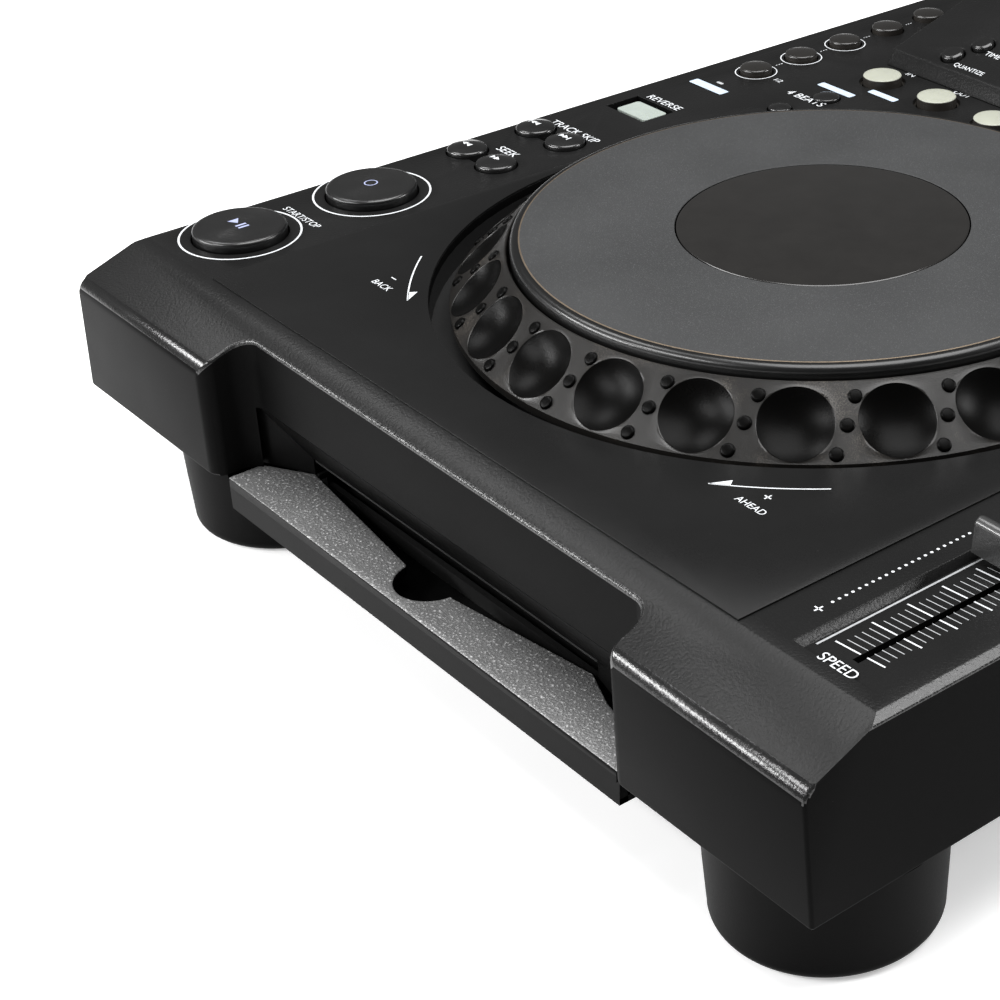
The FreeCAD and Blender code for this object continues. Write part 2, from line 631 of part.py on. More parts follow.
def make_screen_housing():
    """Raised housing: short front step, then a long tilted top; hollow below."""
    foot_y = SCREEN_FOOT_Y
    low = PANEL_Z
    profile = [(foot_y, low), (SCREEN_TOP_Y0, low + SCREEN_STEP), (SCREEN_BACK_Y, HEIGHT),
               (SCREEN_BACK_Y + 4.5, HEIGHT - 3.5), (SCREEN_BACK_Y + 4.5, low)]
    outer = side_prism(profile, SCREEN_X0, SCREEN_X1)
    wall = WALL
    drop = wall / math.cos(TILT)
    back = SCREEN_BACK_Y + 4.5 - wall
    front = SCREEN_TOP_Y0 + 1.2
    under_front = low + SCREEN_STEP - drop + 1.2 * math.tan(TILT)
    under_back = low + SCREEN_STEP - drop + (back - SCREEN_TOP_Y0) * math.tan(TILT)
    inner_profile = [(foot_y + 3.4, low - 1), (front, under_front), (back, under_back), (back, low - 1)]
    inner = side_prism(inner_profile, SCREEN_X0 + wall + 2.5, SCREEN_X1 - wall - 2.5)
    # Both ends lean in towards the top.
    lean = 2.5
    high = HEIGHT + 1
    cross = [(SCREEN_X0, low), (SCREEN_X0 + lean, high), (SCREEN_X1 - lean, high), (SCREEN_X1, low)]
    shell = outer.common(front_prism(cross, foot_y - 1, BACK)).cut(inner)
    for name, x, run, r in SCREEN_BUTTONS:
        shell = shell.cut(screen_cyl(x, run, -6, 2, r + 0.4))
    shell = shell.cut(screen_cyl(SELECTOR[0], SELECTOR[1], -6, 2, 4.0))
    shell = shell.cut(screen_pane(0.0, -1.2, 2.0)).cut(screen_pane(4.0, -6.0, 2.0))
    return shell.cut(box(SCREEN_X1 - 20.0, SCREEN_X1 + 1, 160, 166, 78, 92))


def screen_pane(inset, low, high):
    """Block over the display opening, square to the tilted top."""
    run = (WINDOW_Y - SCREEN_TOP_Y0) / math.cos(TILT)
    pane = Part.makeBox(WINDOW_W - 2 * inset, WINDOW_D - 2 * inset, high - low,
                        V(WINDOW_X - WINDOW_W / 2 + inset, -WINDOW_D / 2 + inset, low))
    pane.rotate(V(0, 0, 0), V(1, 0, 0), math.degrees(TILT))
    pane.translate(on_screen(0, run))
    return pane


def make_display_module():
    return screen_pane(2.0, -8.0, -WALL)


def make_screen_board():
    """Board inside the housing, square to its top."""
    board = Part.makeBox(58.0, 100.0, 1.6, V(77.0, 10.0, -10.0))
    left = Part.makeBox(27.0, 26.0, 1.6, V(-101.0, 10.4, -10.0))
    parts = []
    for piece in (board, left):
        piece.rotate(V(0, 0, 0), V(1, 0, 0), math.degrees(TILT))
        piece.translate(on_screen(0, 0))
        parts.append(piece)
    posts = [screen_cyl(x, run, -8.5, -WALL, 2.0) for x, run in ((84.0, 20.0), (130.0, 20.0), (108.0, 104.0))]
    left_posts = [screen_cyl(x, 32.0, -8.5, -WALL, 1.8) for x in (-96.0, -80.0)]
    right_board = parts[0].fuse(posts).removeSplitter()
    left_board = parts[1].fuse(left_posts).removeSplitter()
    return Part.makeCompound([right_board, left_board, make_display_module()])


def make_screen_button(x, run, r):
    cap = screen_cyl(x, run, -2.8, 1.0, r)
    crown = Part.makeCone(r, r - 0.9, 0.5, on_screen(x, run, 1.0), SCREEN_NORMAL)
    flange = screen_cyl(x, run, -4.2, -2.8, r + 1.2)
    stem = screen_cyl(x, run, -7.6, -4.2, 1.6)
    return cap.fuse([crown, flange, stem]).removeSplitter()


def make_selector():
    """Rotary selector: knob with a bevelled top on its shaft."""
    x, run, r = SELECTOR
    knob = screen_cyl(x, run, 0.5, 12.4, r)
    cap = Part.makeCone(r, r - 0.8, 0.8, on_screen(x, run, 12.4), SCREEN_NORMAL)
    shaft = screen_cyl(x, run, -8.1, 0.6, 3.0)
    return knob.fuse([cap, shaft]).removeSplitter()


def make_knob(x, y):
    """Small turned knob with a flat pointer rib."""
    knob = cyl(x, y, PANEL_Z + 0.4, PANEL_Z + 11, KNOB_R).fuse(box(x - 0.7, x + 0.7, y, y + KNOB_R + 0.5,
                                                               PANEL_Z + 0.4, PANEL_Z + 11))
    shaft = cyl(x, y, BOARD_TOP + 0.6, PANEL_Z + 0.4, 3.0)
    return knob.fuse(shaft).removeSplitter()


def make_rear_panel():
    """Sunk metal tray in the cover's rear window, with its sockets' holes."""
    y0 = JACK_Y
    low = FLOOR_Z + FLOOR_T
    panel = box(-JACK_X, JACK_X, y0 - 1.2, BACK - WALL, low, JACK_TOP)
    panel = panel.cut(box(-JACK_X + 1.2, JACK_X - 1.2, y0, BACK, low + 1.2, JACK_TOP - 1.2))
    for x, z, r in RCA:
        panel = panel.cut(rod((0, 1, 0), (x, y0 - 2, z), 4, r + 0.2))
    for name, x, w, h, z in SOCKETS:
        panel = panel.cut(box(x - w / 2 - 0.3, x + w / 2 + 0.3, y0 - 2, y0 + 1, z - 0.3, z + h + 0.3))
    panel = panel.cut(box(POWER_X - 8.3, POWER_X + 8.3, y0 - 2, y0 + 1, 39.7, 50.3))
    return panel


JACK_X = 136.0
JACK_TOP = 60.0
JACK_Y = BACK - 9.0
RCA = ((76.0, 36.0, 5.0), (76.0, 50.0, 5.0), (52.0, 43.0, 5.0), (30.0, 43.0, 4.2))
SOCKETS = (("network_socket", 4.0, 16.0, 13.5, 33.0), ("data_socket", -24.0, 12.0, 11.0, 34.0),
           ("mains_inlet", -108.0, 27.0, 20.0, 33.0))
POWER_X = -64.0


def make_jack_board():
    """Upright board behind the rear panel with its signal sockets and the power switch."""
    y0 = JACK_Y
    low = FLOOR_Z + FLOOR_T
    board = box(-82, 90, y0 - 13.6, y0 - 12, low, 56)
    sockets = []
    for x, z, r in RCA:
        barrel = rod((0, 1, 0), (x, y0 - 12.5, z), 21.0 if r > 4.5 else 13.0, r)
        sockets.append(barrel.cut(rod((0, 1, 0), (x, y0 - 6, z), 30, r - 2.2)))
    for name, x, w, h, z in SOCKETS[:2]:
        sockets.append(socket_shell(x, w, h, z, 12.5))
    switch = box(POWER_X - 8, POWER_X + 8, y0 - 12.5, y0 - 7.2, 38, 52)
    return board.fuse(sockets + [switch]).removeSplitter()


def socket_shell(x, w, h, z, deep):
    y0 = JACK_Y
    block = box(x - w / 2, x + w / 2, y0 - deep, y0 + 0.6, z, z + h)
    return block.cut(box(x - w / 2 + 1.8, x + w / 2 - 1.8, y0 - deep + 3, y0 + 2, z + 1.8, z + h - 1.8))


def make_inlet():
    """Two-pin mains inlet: shaped shroud and two pins."""
    name, x, w, h, z = SOCKETS[2]
    shell = socket_shell(x, w, h, z, 14)
    pins = [rod((0, 1, 0), (x + side * 4.3, JACK_Y - 11.5, z + h / 2), 9.5, 1.2) for side in (-1, 1)]
    foot = box(x - w / 2, x + w / 2, JACK_Y - 14, JACK_Y - 11, FLOOR_Z + FLOOR_T, z)
    return shell.fuse(pins + [foot]).removeSplitter()


def make_power_button():
    y0 = JACK_Y
    cap = box(POWER_X - 8, POWER_X + 8, y0 - 5.4, y0 + 3.0, 40, 50)
    cap = cap.makeFillet(0.8, [e for e in cap.Edges if e.BoundBox.YMin > y0 + 2])
    return cap.fuse(box(POWER_X - 9.5, POWER_X + 9.5, y0 - 3.2, y0 - 1.6, 38.5, 51.5)).removeSplitter()


def make_main_board():
    """Main board on four posts behind the drive, with its largest chips."""
    board = box(-60, 120, 58, 158, 30.0, 31.6)
    chips = [box(x, x + s, y, y + s, 31.6, 33.4) for x, y, s in ((-30, 90, 24), (20, 80, 18), (60, 110, 14))]
    posts = [cyl(x, y, FLOOR_Z + FLOOR_T, 30.0, 2.5) for x in (-54, 114) for y in (64, 152)]
    return board.fuse(chips + posts).removeSplitter()


def make_power_board():
    """Power supply board with its transformer, cans and heat sink."""
    board = box(-140, -78, 60, 164, 30.0, 31.6)
    lumps = [box(-132, -100, 84, 116, 31.6, 52), cyl(-92, 100, 31.6, 50, 6.5), cyl(-92, 118, 31.6, 50, 6.5),
             box(-134, -100, 136, 138, 31.6, 50)]
    posts = [cyl(x, y, FLOOR_Z + FLOOR_T, 30.0, 2.5) for x in (-135, -84) for y in (66, 158)]
    return board.fuse(lumps + posts).removeSplitter()


def make_drive_frame():
    """Drive's frame: base with a window for the sled, side walls, clamp plate, motor can and guide rod."""
    low = PAN_Z + FLOOR_T
    base = box(-78, 67, -160, 30, low, low + 1.4)
    base = base.cut(box(DISC_X - 20, DISC_X + 23, DISC_Y + 18, DISC_Y + 84, low - 1, low + 3))
    walls = [box(-78, -76, -160, 30, low, 36), box(65, 67, -160, 30, low, 36)]
    top = box(-78, 67, -160, 30, 36.0, 37.2).cut(cyl(DISC_X, DISC_Y, 35, 39, 11.0))
    can = tube(DISC_X, DISC_Y, low, 23.7, 12.0, 1.55)
    ends = [box(DISC_X - 22, DISC_X + 25, y, y + 2.0, low, 25.4) for y in (DISC_Y + 16, DISC_Y + 84)]
    guide = rod((0, 1, 0), (DISC_X - 11, DISC_Y + 17, SCREW_Z), 68, 1.5)
    frame = base.fuse(walls + [top, can] + ends + [guide]).removeSplitter()
    frame = frame.cut(rod((1, 0, 0), (-79, ROLLER_Y, ROLLER_Z), 148, ROLLER_AXLE_R + 0.05))
    return frame.cut(rod((0, 1, 0), (SCREW_X, DISC_Y + 15, SCREW_Z), 74, 1.35))


ROLLER_Y = -155.0
ROLLER_Z = 25.4
ROLLER_AXLE_R = 1.5
SCREW_X = DISC_X + 17.0
SCREW_Z = 22.8


def make_clamper():
    """Puck above the disc: a plate over its hole and a hub that hangs through it."""
    puck = cyl(DISC_X, DISC_Y, 37.4, 38.9, 14.0).fuse(cyl(DISC_X, DISC_Y, 33.5, 37.4, 10.6))
    return puck.fuse(cyl(DISC_X, DISC_Y, 31.4, 33.5, 7.0)).removeSplitter()


def make_roller():
    """Loading roller: axle and two rubber cones, slimmest at the middle."""
    r = ROLLER_AXLE_R
    x0 = -77.8
    x1 = 66.8
    points = [(x0, 0), (x0, r), (-74, r), (-74, 3.0), (DISC_X, 2.3), (63, 3.0), (63, r), (x1, r), (x1, 0)]
    corners = [V(x, 0, z) for x, z in points + points[:1]]
    roller = Part.Face(Part.makePolygon(corners)).revolve(V(0, 0, 0), V(1, 0, 0), 360)
    roller.translate(V(0, ROLLER_Y, ROLLER_Z))
    return roller


def make_turntable():
    """Spindle with its turntable: tapered nose for the disc's hole and a flat seat."""
    return turned([(0, 20.8), (1.5, 20.8), (1.5, 24.0), (13.5, 24.0), (14.0, 24.5), (14.0, 27.6), (7.4, 27.6),
                   (7.2, 28.6), (5.6, 30.1), (0, 30.1)], DISC_X, DISC_Y)


def make_sled():
    """Pickup sled on its guide rod and screw, with the lens on top."""
    y0 = DISC_Y + 21
    block = box(DISC_X - 13.5, DISC_X + 20.5, y0, y0 + 24, 20.8, 26.6)
    block = block.cut(rod((0, 1, 0), (DISC_X - 11, y0 - 1, SCREW_Z), 30, 1.55))
    block = block.cut(rod((0, 1, 0), (SCREW_X, y0 - 1, SCREW_Z), 30, 1.95))
    lens = cyl(DISC_X, y0 + 10, 26.6, 27.4, 3.0)
    return block.fuse(lens).removeSplitter()


def make_lead_screw():
    """Screw that moves the sled: a threaded length between plain ends."""
    screw = rod((0, 1, 0), (SCREW_X, DISC_Y + 15.5, SCREW_Z), 71, 1.3)
    thread = rod((0, 1, 0), (SCREW_X, DISC_Y + 19.0, SCREW_Z), 63, 1.65)
    return screw.fuse(thread).removeSplitter()


def main():
    save("top_cover", make_cover())
    save("jog_surround", make_surround())
    save("slot_frame", make_slot_frame())
    save("slot_felt", make_felt())
    save("slot_lip", make_lip())
    save("bottom_chassis", make_chassis())
    save("feet", make_feet())
    save("foot_screws", make_foot_screws())
    save("jog_base", make_jog_base())
    save("jog_ring", make_jog_ring())
    save("jog_hub", make_jog_hub())
    save("encoder_pinion", make_encoder_pinion())
    save("encoder_housing", make_encoder())
    save("touch_platter", make_platter())
    save("jog_display", make_jog_display())
    save("jog_window", make_jog_window())
    for name, x, y, r, height, crown in round_buttons():
        save(name, make_round_button(x, y, r, height, crown))
    save("direction_key", make_direction_key())
    save("button_boards", make_button_board())
    save("fader_unit", make_fader_unit())
    save("fader_carriage", make_fader_carriage())
    save("fader_knob", make_fader_knob())
    save("screen_housing", make_screen_housing())
    save("screen_window", screen_pane(0.1, -1.2, 0.0))
    save("screen_boards", make_screen_board())
    for name, x, run, r in SCREEN_BUTTONS:
        save(name, make_screen_button(x, run, r))
    save("selector_knob", make_selector())
    save("speed_knob", make_knob(FADER_X, SPEED_KNOB_Y))
    save("rear_panel", make_rear_panel())
    save("jack_board", make_jack_board())
    save("mains_inlet", make_inlet())
    save("power_button", make_power_button())
    save("main_board", make_main_board())
    save("power_board", make_power_board())
    save("drive_frame", make_drive_frame())
    save("clamper", make_clamper())
    save("loading_roller", make_roller())
    save("turntable", make_turntable())
    save("pickup_sled", make_sled())
    save("lead_screw", make_lead_screw())


main()
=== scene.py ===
import json
import math

import bmesh
import bpy
from mathutils import Matrix, Vector


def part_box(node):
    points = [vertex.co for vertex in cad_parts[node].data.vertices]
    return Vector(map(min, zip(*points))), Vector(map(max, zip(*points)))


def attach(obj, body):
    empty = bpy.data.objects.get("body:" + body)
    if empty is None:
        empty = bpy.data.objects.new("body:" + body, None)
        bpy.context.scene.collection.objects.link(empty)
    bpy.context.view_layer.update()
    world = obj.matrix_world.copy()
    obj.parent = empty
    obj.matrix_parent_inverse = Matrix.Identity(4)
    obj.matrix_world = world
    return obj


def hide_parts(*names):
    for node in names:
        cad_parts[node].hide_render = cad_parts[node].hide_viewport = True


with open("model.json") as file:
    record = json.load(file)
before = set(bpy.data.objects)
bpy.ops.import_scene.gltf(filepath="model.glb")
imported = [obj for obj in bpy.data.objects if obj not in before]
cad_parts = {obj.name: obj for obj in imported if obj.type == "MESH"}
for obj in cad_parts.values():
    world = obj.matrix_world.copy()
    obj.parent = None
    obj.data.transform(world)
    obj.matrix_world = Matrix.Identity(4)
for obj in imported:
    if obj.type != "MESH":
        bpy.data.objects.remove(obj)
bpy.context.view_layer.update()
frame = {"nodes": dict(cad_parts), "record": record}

MM = 0.001

# Places and sizes in millimetres, as in the part's own frame.
PANEL = 66.5
SHEET = 67.0
SKIRT = 26.5
JOG = (-5.5, -49.8)
RING_R = 98.5
RING_TOP_R = 83.4
RING_Z = 64.8
RING_TOP_Z = 78.3
DIMPLES = 24
DIMPLE_R = 9.25
DIMPLE_DEPTH = 2.75
FIRST_DIMPLE_DEG = -60.4
STUD_PROFILE = ((2.0, -0.1), (1.72, 0.1), (1.66, 0.45), (1.5, 0.62), (1.1, 0.7), (0.0, 0.72))
PLATTER_Z = 81.5
STEM_Z = 59.3
FLANGE_Z = 62.0
COLUMN_X = -133.0
START_Y = -151.8
CUE_Y = -109.9
SEARCH_Y = -72.3
SKIP_Y = -47.6
KEY_TOP = 66.05
BEATS = 5
BEAT_X = COLUMN_X - 0.4
BEAT_Y = 33.8
BEAT_STEP = 19.25
LOOP_NODES = ("loop_in_button", "loop_out_button", "reloop_button")
LOOP_X = -99.4
LOOP_Y = 57.9
LOOP_STEP = 25.0
FADER = (132.0, -110.0)
RAMP_X0 = 120.4
RAMP_X1 = 144.0
RAMP_DEPTH = 1.9
PRINT_LIFT = 0.03
TILT = math.atan2(35.0, 114.0)
HOUSING_Y = 72.0
HOUSING_Z = 71.5
RECESS_X = (-82.0, 87.5)
RECESS_Y = -179.2
SLOT_Y = -172.2
SLOT_X = (-67.0, 56.0)
SLOT_TOP = 31.1
LIP_X = (-80.8, 86.3)
LIP_Y = -189.7
LIP_T = 2.4
LIP_H = 9.3
NOTCH = (-3.9, -177.6)
NOTCH_R = 9.3
FOOT_PLACES = ((-98.9, -163.8), (124.0, -163.8), (-98.9, 160.0), (124.0, 160.0))
PAN_X = -85.6
PAN_UNDER = 17.1

# Legends on the panel: text, left end, right end and foot of the letters.
LEGENDS = (
    ("START/STOP", -140.3, -122.3, -134.6),
    ("SEEK", -136.5, -127.2, -65.2),
    ("TRACK SKIP", -143.0, -120.0, -41.0),
    ("REVERSE", -139.8, -124.0, -6.2),
    ("4 BEATS", -113.0, -96.5, 28.6),
    ("IN", -99.5, -95.9, 67.6),
    ("OUT", -77.5, -70.5, 67.6),
    ("1/2", -124.5, -120.9, 33.0),
)

# Finishes of the cover by their place in its list.
TEXTURED_GLINT = 1
UPRIGHT = 2
WORN = 3


class Wire:
    """A value in a shader; arithmetic on it adds Math nodes."""

    def __init__(self, shader, socket):
        self.shader = shader
        self.socket = socket

    def _math(self, kind, a, b=None):
        values = {0: a} if b is None else {0: a, 1: b}
        return self.shader.node("Math", {"operation": kind}, values)

    def __add__(self, other):
        return self._math("ADD", self, other)

    def __radd__(self, other):
        return self._math("ADD", other, self)

    def __sub__(self, other):
        return self._math("SUBTRACT", self, other)

    def __rsub__(self, other):
        return self._math("SUBTRACT", other, self)

    def __mul__(self, other):
        return self._math("MULTIPLY", self, other)

    def __rmul__(self, other):
        return self._math("MULTIPLY", other, self)

    def __pow__(self, other):
        return self._math("POWER", self, other)

    def sin(self):
        return self._math("SINE", self)

    def step(self, low, high):
        """Smooth rise from 0 at low to 1 at high."""
        settings = {"interpolation_type": "SMOOTHSTEP"}
        values = {"Value": self, "From Min": low, "From Max": high}
        return self.shader.node("MapRange", settings, values)


class Shader:
    """A new material; node() adds one node and returns its first output."""

    def __init__(self, name):
        self.material = bpy.data.materials.new(name)
        self.material.use_nodes = True
        self.tree = self.material.node_tree
        self.surface = self.tree.nodes["Principled BSDF"]
        self.place = self.node("TexCoord", {}, {}, "Object")

    def node(self, kind, settings, inputs, output=0):
        made = self.tree.nodes.new("ShaderNode" + kind)
        for key, value in settings.items():
            setattr(made, key, value)
        for key, value in inputs.items():
            self.feed(made.inputs[key], value)
        return Wire(self, made.outputs[output])

    def feed(self, socket, value):
        if isinstance(value, Wire):
            self.tree.links.new(value.socket, socket)
        elif isinstance(value, tuple) and len(value) == 3 and socket.type == "RGBA":
            socket.default_value = (*value, 1.0)
        else:
            socket.default_value = value

    def set(self, **inputs):
        for key, value in inputs.items():
            self.feed(self.surface.inputs[key.replace("_", " ")], value)
        return self.material

    def noise(self, size_mm, detail=2.0, roughness=0.5):
        values = {"Vector": self.place, "Scale": 1.0 / (size_mm * MM), "Detail": detail,
                  "Roughness": roughness}
        return self.node("TexNoise", {}, values)

    def cells(self, size_mm):
        values = {"Vector": self.place, "Scale": 1.0 / (size_mm * MM)}
        return self.node("TexVoronoi", {}, values)

    def mix(self, factor, a, b):
        values = {"Factor": factor, 6: a, 7: b}
        return self.node("Mix", {"data_type": "RGBA"}, values, 2)

    def bump(self, height, depth_mm):
        values = {"Height": height, "Distance": depth_mm * MM, "Strength": 1.0}
        return self.node("Bump", {}, values)

    def axis(self, index):
        return self.node("SeparateXYZ", {}, {0: self.place}, index)


def grey(level, warm=0.0):
    return (level * (1 + warm), level, level * (1 - warm))


def satin(name, level, rough, grain, grain_depth, fleck_and_glint=0.0, warm=0.0, spec=0.25, coat=0.0):
    """Black or grey moulded plastic: fine grain, faint wear, dust specks, and bright flecks on the grain that
    stand partly for painted glints.
    """
    s = Shader(name)
    wear = s.noise(38.0, 3.0, 0.6)
    fine = s.noise(grain, 2.0, 0.6)
    dust = s.cells(3.1).step(0.045, 0.02) * s.noise(9.0).step(0.5, 0.7)
    dark = grey(level * 0.8, warm)
    light = grey(level * 1.25, warm)
    colour = s.mix(wear, dark, light)
    # Bright flecks on the fine grain: on the cover's edge band and on the lip they are painted glints of lamp
    # light.
    if fleck_and_glint:
        colour = s.mix(fine.step(0.56, 0.72) * fleck_and_glint, colour, grey(min(level * 7 + 0.1, 0.6), warm))
    colour = s.mix(dust * 0.25, colour, grey(0.2, 0.03))
    roughness = rough + (wear - 0.5) * 0.16 + (fine - 0.5) * 0.12 + dust * 0.2
    height = fine + wear * 0.3
    return s.set(Base_Color=colour, Roughness=roughness, Normal=s.bump(height, grain_depth),
                 Specular_IOR_Level=spec, Coat_Weight=coat, Coat_Roughness=0.08)


def gloss(name, level, rough=0.12, warm=0.0, coat=0.4):
    """Polished dark plastic with faint smears and fine scratches."""
    s = Shader(name)
    smear = s.noise(11.0, 4.0, 0.65)
    fine = s.noise(0.6, 2.0)
    colour = s.mix(smear, grey(level * 0.8, warm), grey(level * 1.3, warm))
    roughness = rough + smear * 0.12 + fine * 0.04
    return s.set(Base_Color=colour, Roughness=roughness, Normal=s.bump(smear + fine * 0.2, 0.01),
                 Coat_Weight=coat, Coat_Roughness=0.05)


def rubber(name, level, warm=0.04, rough=0.55, scuff=0.5, spec=0.5):
    """Grip rubber with pale scuffs and a very fine grain."""
    s = Shader(name)
    broad = s.noise(14.0, 5.0, 0.65)
    fine = s.noise(0.35, 3.0, 0.7)
    mark = broad.step(0.5, 0.72) * fine.step(0.42, 0.66) * scuff
    colour = s.mix(broad, grey(level * 0.75, warm), grey(level * 1.3, warm))
    colour = s.mix(mark, colour, grey(level * 5 + 0.03, warm * 1.5))
    roughness = rough - broad * 0.2 + fine * 0.14
    return s.set(Base_Color=colour, Roughness=roughness, Normal=s.bump(fine + broad * 0.4, 0.03),
                 Specular_IOR_Level=spec)


def spun(name, level, centre):
    """Dark metal cap turned on a lathe: fine rings about its centre."""
    s = Shader(name)
    x = s.axis(0) - centre[0] * MM
    y = s.axis(1) - centre[1] * MM
    radius = (x * x + y * y) ** 0.5
    rings = (radius * (2 * math.pi / (0.42 * MM))).sin()
    grain = s.noise(0.5, 2.0)
    wear = s.noise(7.0, 3.0)
    colour = s.mix(rings * 0.25 + grain * 0.6, grey(level * 0.7), grey(level * 1.3))
    return s.set(Base_Color=colour, Roughness=0.2 + wear * 0.1, Metallic=0.85,
                 Normal=s.bump(rings * 0.5 + grain * 0.2, 0.035))


def ink(name, colour, glow=0.0):
    """Printed ink: slightly uneven, matt; a glow above zero adds a painted glow in the ink's colour."""
    s = Shader(name)
    patch = s.noise(1.2, 3.0)
    tone = s.mix(patch.step(0.3, 0.7), tuple(c * 0.86 for c in colour), colour)
    return s.set(Base_Color=tone, Roughness=0.5 + patch * 0.15, Normal=s.bump(patch, 0.004),
                 Emission_Color=colour, Emission_Strength=glow)


def metal(name, level, rough=0.32, warm=0.0):
    s = Shader(name)
    brush = s.noise(0.7, 3.0)
    wear = s.noise(16.0, 3.0)
    colour = s.mix(wear, grey(level * 0.85, warm), grey(level * 1.1, warm))
    return s.set(Base_Color=colour, Metallic=1.0, Roughness=rough + brush * 0.15, Normal=s.bump(brush, 0.008))


def tinted(name, colour, rough=0.3, depth=0.02, through=0.0):
    """Coloured plastic such as circuit boards, milky keys and cream caps."""
    s = Shader(name)
    cloud = s.noise(4.0, 3.0)
    fine = s.noise(0.5, 2.0)
    tone = s.mix(cloud, tuple(c * 0.88 for c in colour), tuple(min(c * 1.08, 1.0) for c in colour))
    return s.set(Base_Color=tone, Roughness=rough + fine * 0.12, Normal=s.bump(fine + cloud * 0.4, depth),
                 Subsurface_Weight=through, Subsurface_Radius=(0.002, 0.002, 0.0015))


PANEL_BLACK = satin("panel_black", 0.009, 0.34, 0.70, 0.100, spec=0.18)
# Upright faces of the cover: a darker copy of the panel's black, painted shade on faces that the lamps light
# less.
SHADED_SIDE_BLACK = satin("side_black", 0.0035, 0.42, 0.5, 0.015, spec=0.02)
SHEET_BLACK = satin("sheet_black", 0.009, 0.30, 0.22, 0.010, spec=0.14)
# Recess rim and long side bevels: grained black a little lighter than the panel, with bright flecks; the
# lighter tone and the flecks are painted highlight and glints.
EDGE_GRAIN_GLINT = satin("edge_grain", 0.012, 0.26, 0.75, 0.16, fleck_and_glint=0.35, spec=0.5)
NOSE_WORN = satin("nose_worn", 0.009, 0.20, 0.70, 0.045, spec=0.5)
SMOOTH_BLACK = satin("smooth_black", 0.004, 0.36, 0.5, 0.008, spec=0.03)
# Lip top: lighter grey with bright flecks, partly the lip's own lighter grained plastic and partly painted
# light and glints of the lamps on its coarse grain.
LIP_GRAIN_GLINT = satin("lip_grain", 0.13, 0.30, 0.70, 0.26, fleck_and_glint=0.85, spec=0.8)
FOOT_BLACK = satin("foot_black", 0.004, 0.45, 0.5, 0.02, spec=0.03)
RING_BLACK = rubber("ring_black", 0.008, 0.10, 0.36, 0.9, 0.4)
# Dimples and studs: a near-black, barely reflecting copy of the ring's rubber, painted shade in the hollows
# and on the studs.
DIMPLE_SHADE_BLACK = rubber("dimple_black", 0.0015, 0.05, 0.34, 0.05, 0.06)
PLATTER_GREY = satin("platter_grey", 0.036, 0.52, 0.30, 0.03, fleck_and_glint=0.12, warm=-0.02, spec=0.3)
RIM_BLACK = gloss("rim_black", 0.004, 0.22, coat=0.1)
WINDOW_SMOKE = gloss("window_smoke", 0.012, 0.12, 0.06, 0.3)
CAP_BLACK = gloss("cap_black", 0.008, 0.16)
SMOKED = gloss("smoked_cap", 0.012, 0.20, 0.08, 0.35)
# Dark olive for cap skirts and well rims: partly the caps' own olive skirts, partly painted shade of the
# wells, which also makes the cream caps look lower.
OLIVE_AND_SHADE = satin("olive_skirt", 0.020, 0.4, 0.4, 0.01, warm=0.12)
CREAM = tinted("cream_cap", (0.36, 0.37, 0.31), 0.32, 0.01, 0.15)
MILKY = tinted("milky_key", (0.34, 0.38, 0.35), 0.28, 0.008, 0.12)
GRAPHITE = satin("graphite", 0.035, 0.30, 0.3, 0.02, spec=0.6, coat=0.2)
FELT = rubber("dusty_felt", 0.030, 0.45, 0.9, 1.0)
STEEL_BLACK = metal("tray_steel", 0.06, 0.45)
STEEL = metal("bright_steel", 0.55, 0.25)
BOARD = tinted("board_green", (0.02, 0.10, 0.05), 0.35)
INNER = satin("inner_black", 0.02, 0.45, 0.6, 0.02)
WHITE_INK = ink("white_ink", (0.70, 0.72, 0.74))
GREY_INK = ink("grey_ink", (0.42, 0.43, 0.44))
BLUE_INK = ink("blue_white_ink", (0.50, 0.59, 0.70))
# The glyph ink glows faintly: painted light on the start and cue signs.
GLYPH_INK = ink("glyph_ink", (0.32, 0.35, 0.52), 0.25)
GOLD_LINE = metal("gold_line", 0.30, 0.35, 0.25)

NODE_FINISH = {
    PANEL_BLACK: ("top_cover", "screen_housing"),
    SHEET_BLACK: ("jog_surround",),
    SMOOTH_BLACK: ("slot_frame", "power_button"),
    LIP_GRAIN_GLINT: ("slot_lip",),
    STEEL_BLACK: ("bottom_chassis", "rear_panel", "drive_frame"),
    FOOT_BLACK: ("feet",),
    STEEL: ("foot_screws", "lead_screw"),
    INNER: ("jog_base", "encoder_housing", "fader_unit", "mains_inlet", "jog_hub", "encoder_pinion",
            "clamper", "pickup_sled", "fader_carriage", "turntable", "jog_display"),
    BOARD: ("button_boards", "screen_boards", "main_board", "power_board", "jack_board"),
    RING_BLACK: ("jog_ring",),
    PLATTER_GREY: ("touch_platter",),
    WINDOW_SMOKE: ("jog_window", "screen_window"),
    FELT: ("slot_felt", "loading_roller"),
    GRAPHITE: ("fader_knob", "selector_knob", "speed_knob"),
}


def slot_of(node):
    return next(s["material_slot"] for s in frame["record"]["subparts"] if s["node"] == node)


def body_of(node):
    return next(b for b, members in frame["record"]["behaviour"]["bodies"].items() if node in members)


def finish_nodes():
    """The nodes that stay as they are get their finish."""
    for material, nodes in NODE_FINISH.items():
        for node in nodes:
            mesh = frame["nodes"][node].data
            mesh.materials.clear()
            mesh.materials.append(material)


def smooth(mesh, angle=32.0):
    """Shades smooth except across edges sharper than the angle."""
    bm = bmesh.new()
    bm.from_mesh(mesh)
    for face in bm.faces:
        face.smooth = True
    for edge in bm.edges:
        edge.smooth = len(edge.link_faces) == 2 and edge.calc_face_angle(0.0) < math.radians(angle)
    bm.to_mesh(mesh)
    bm.free()


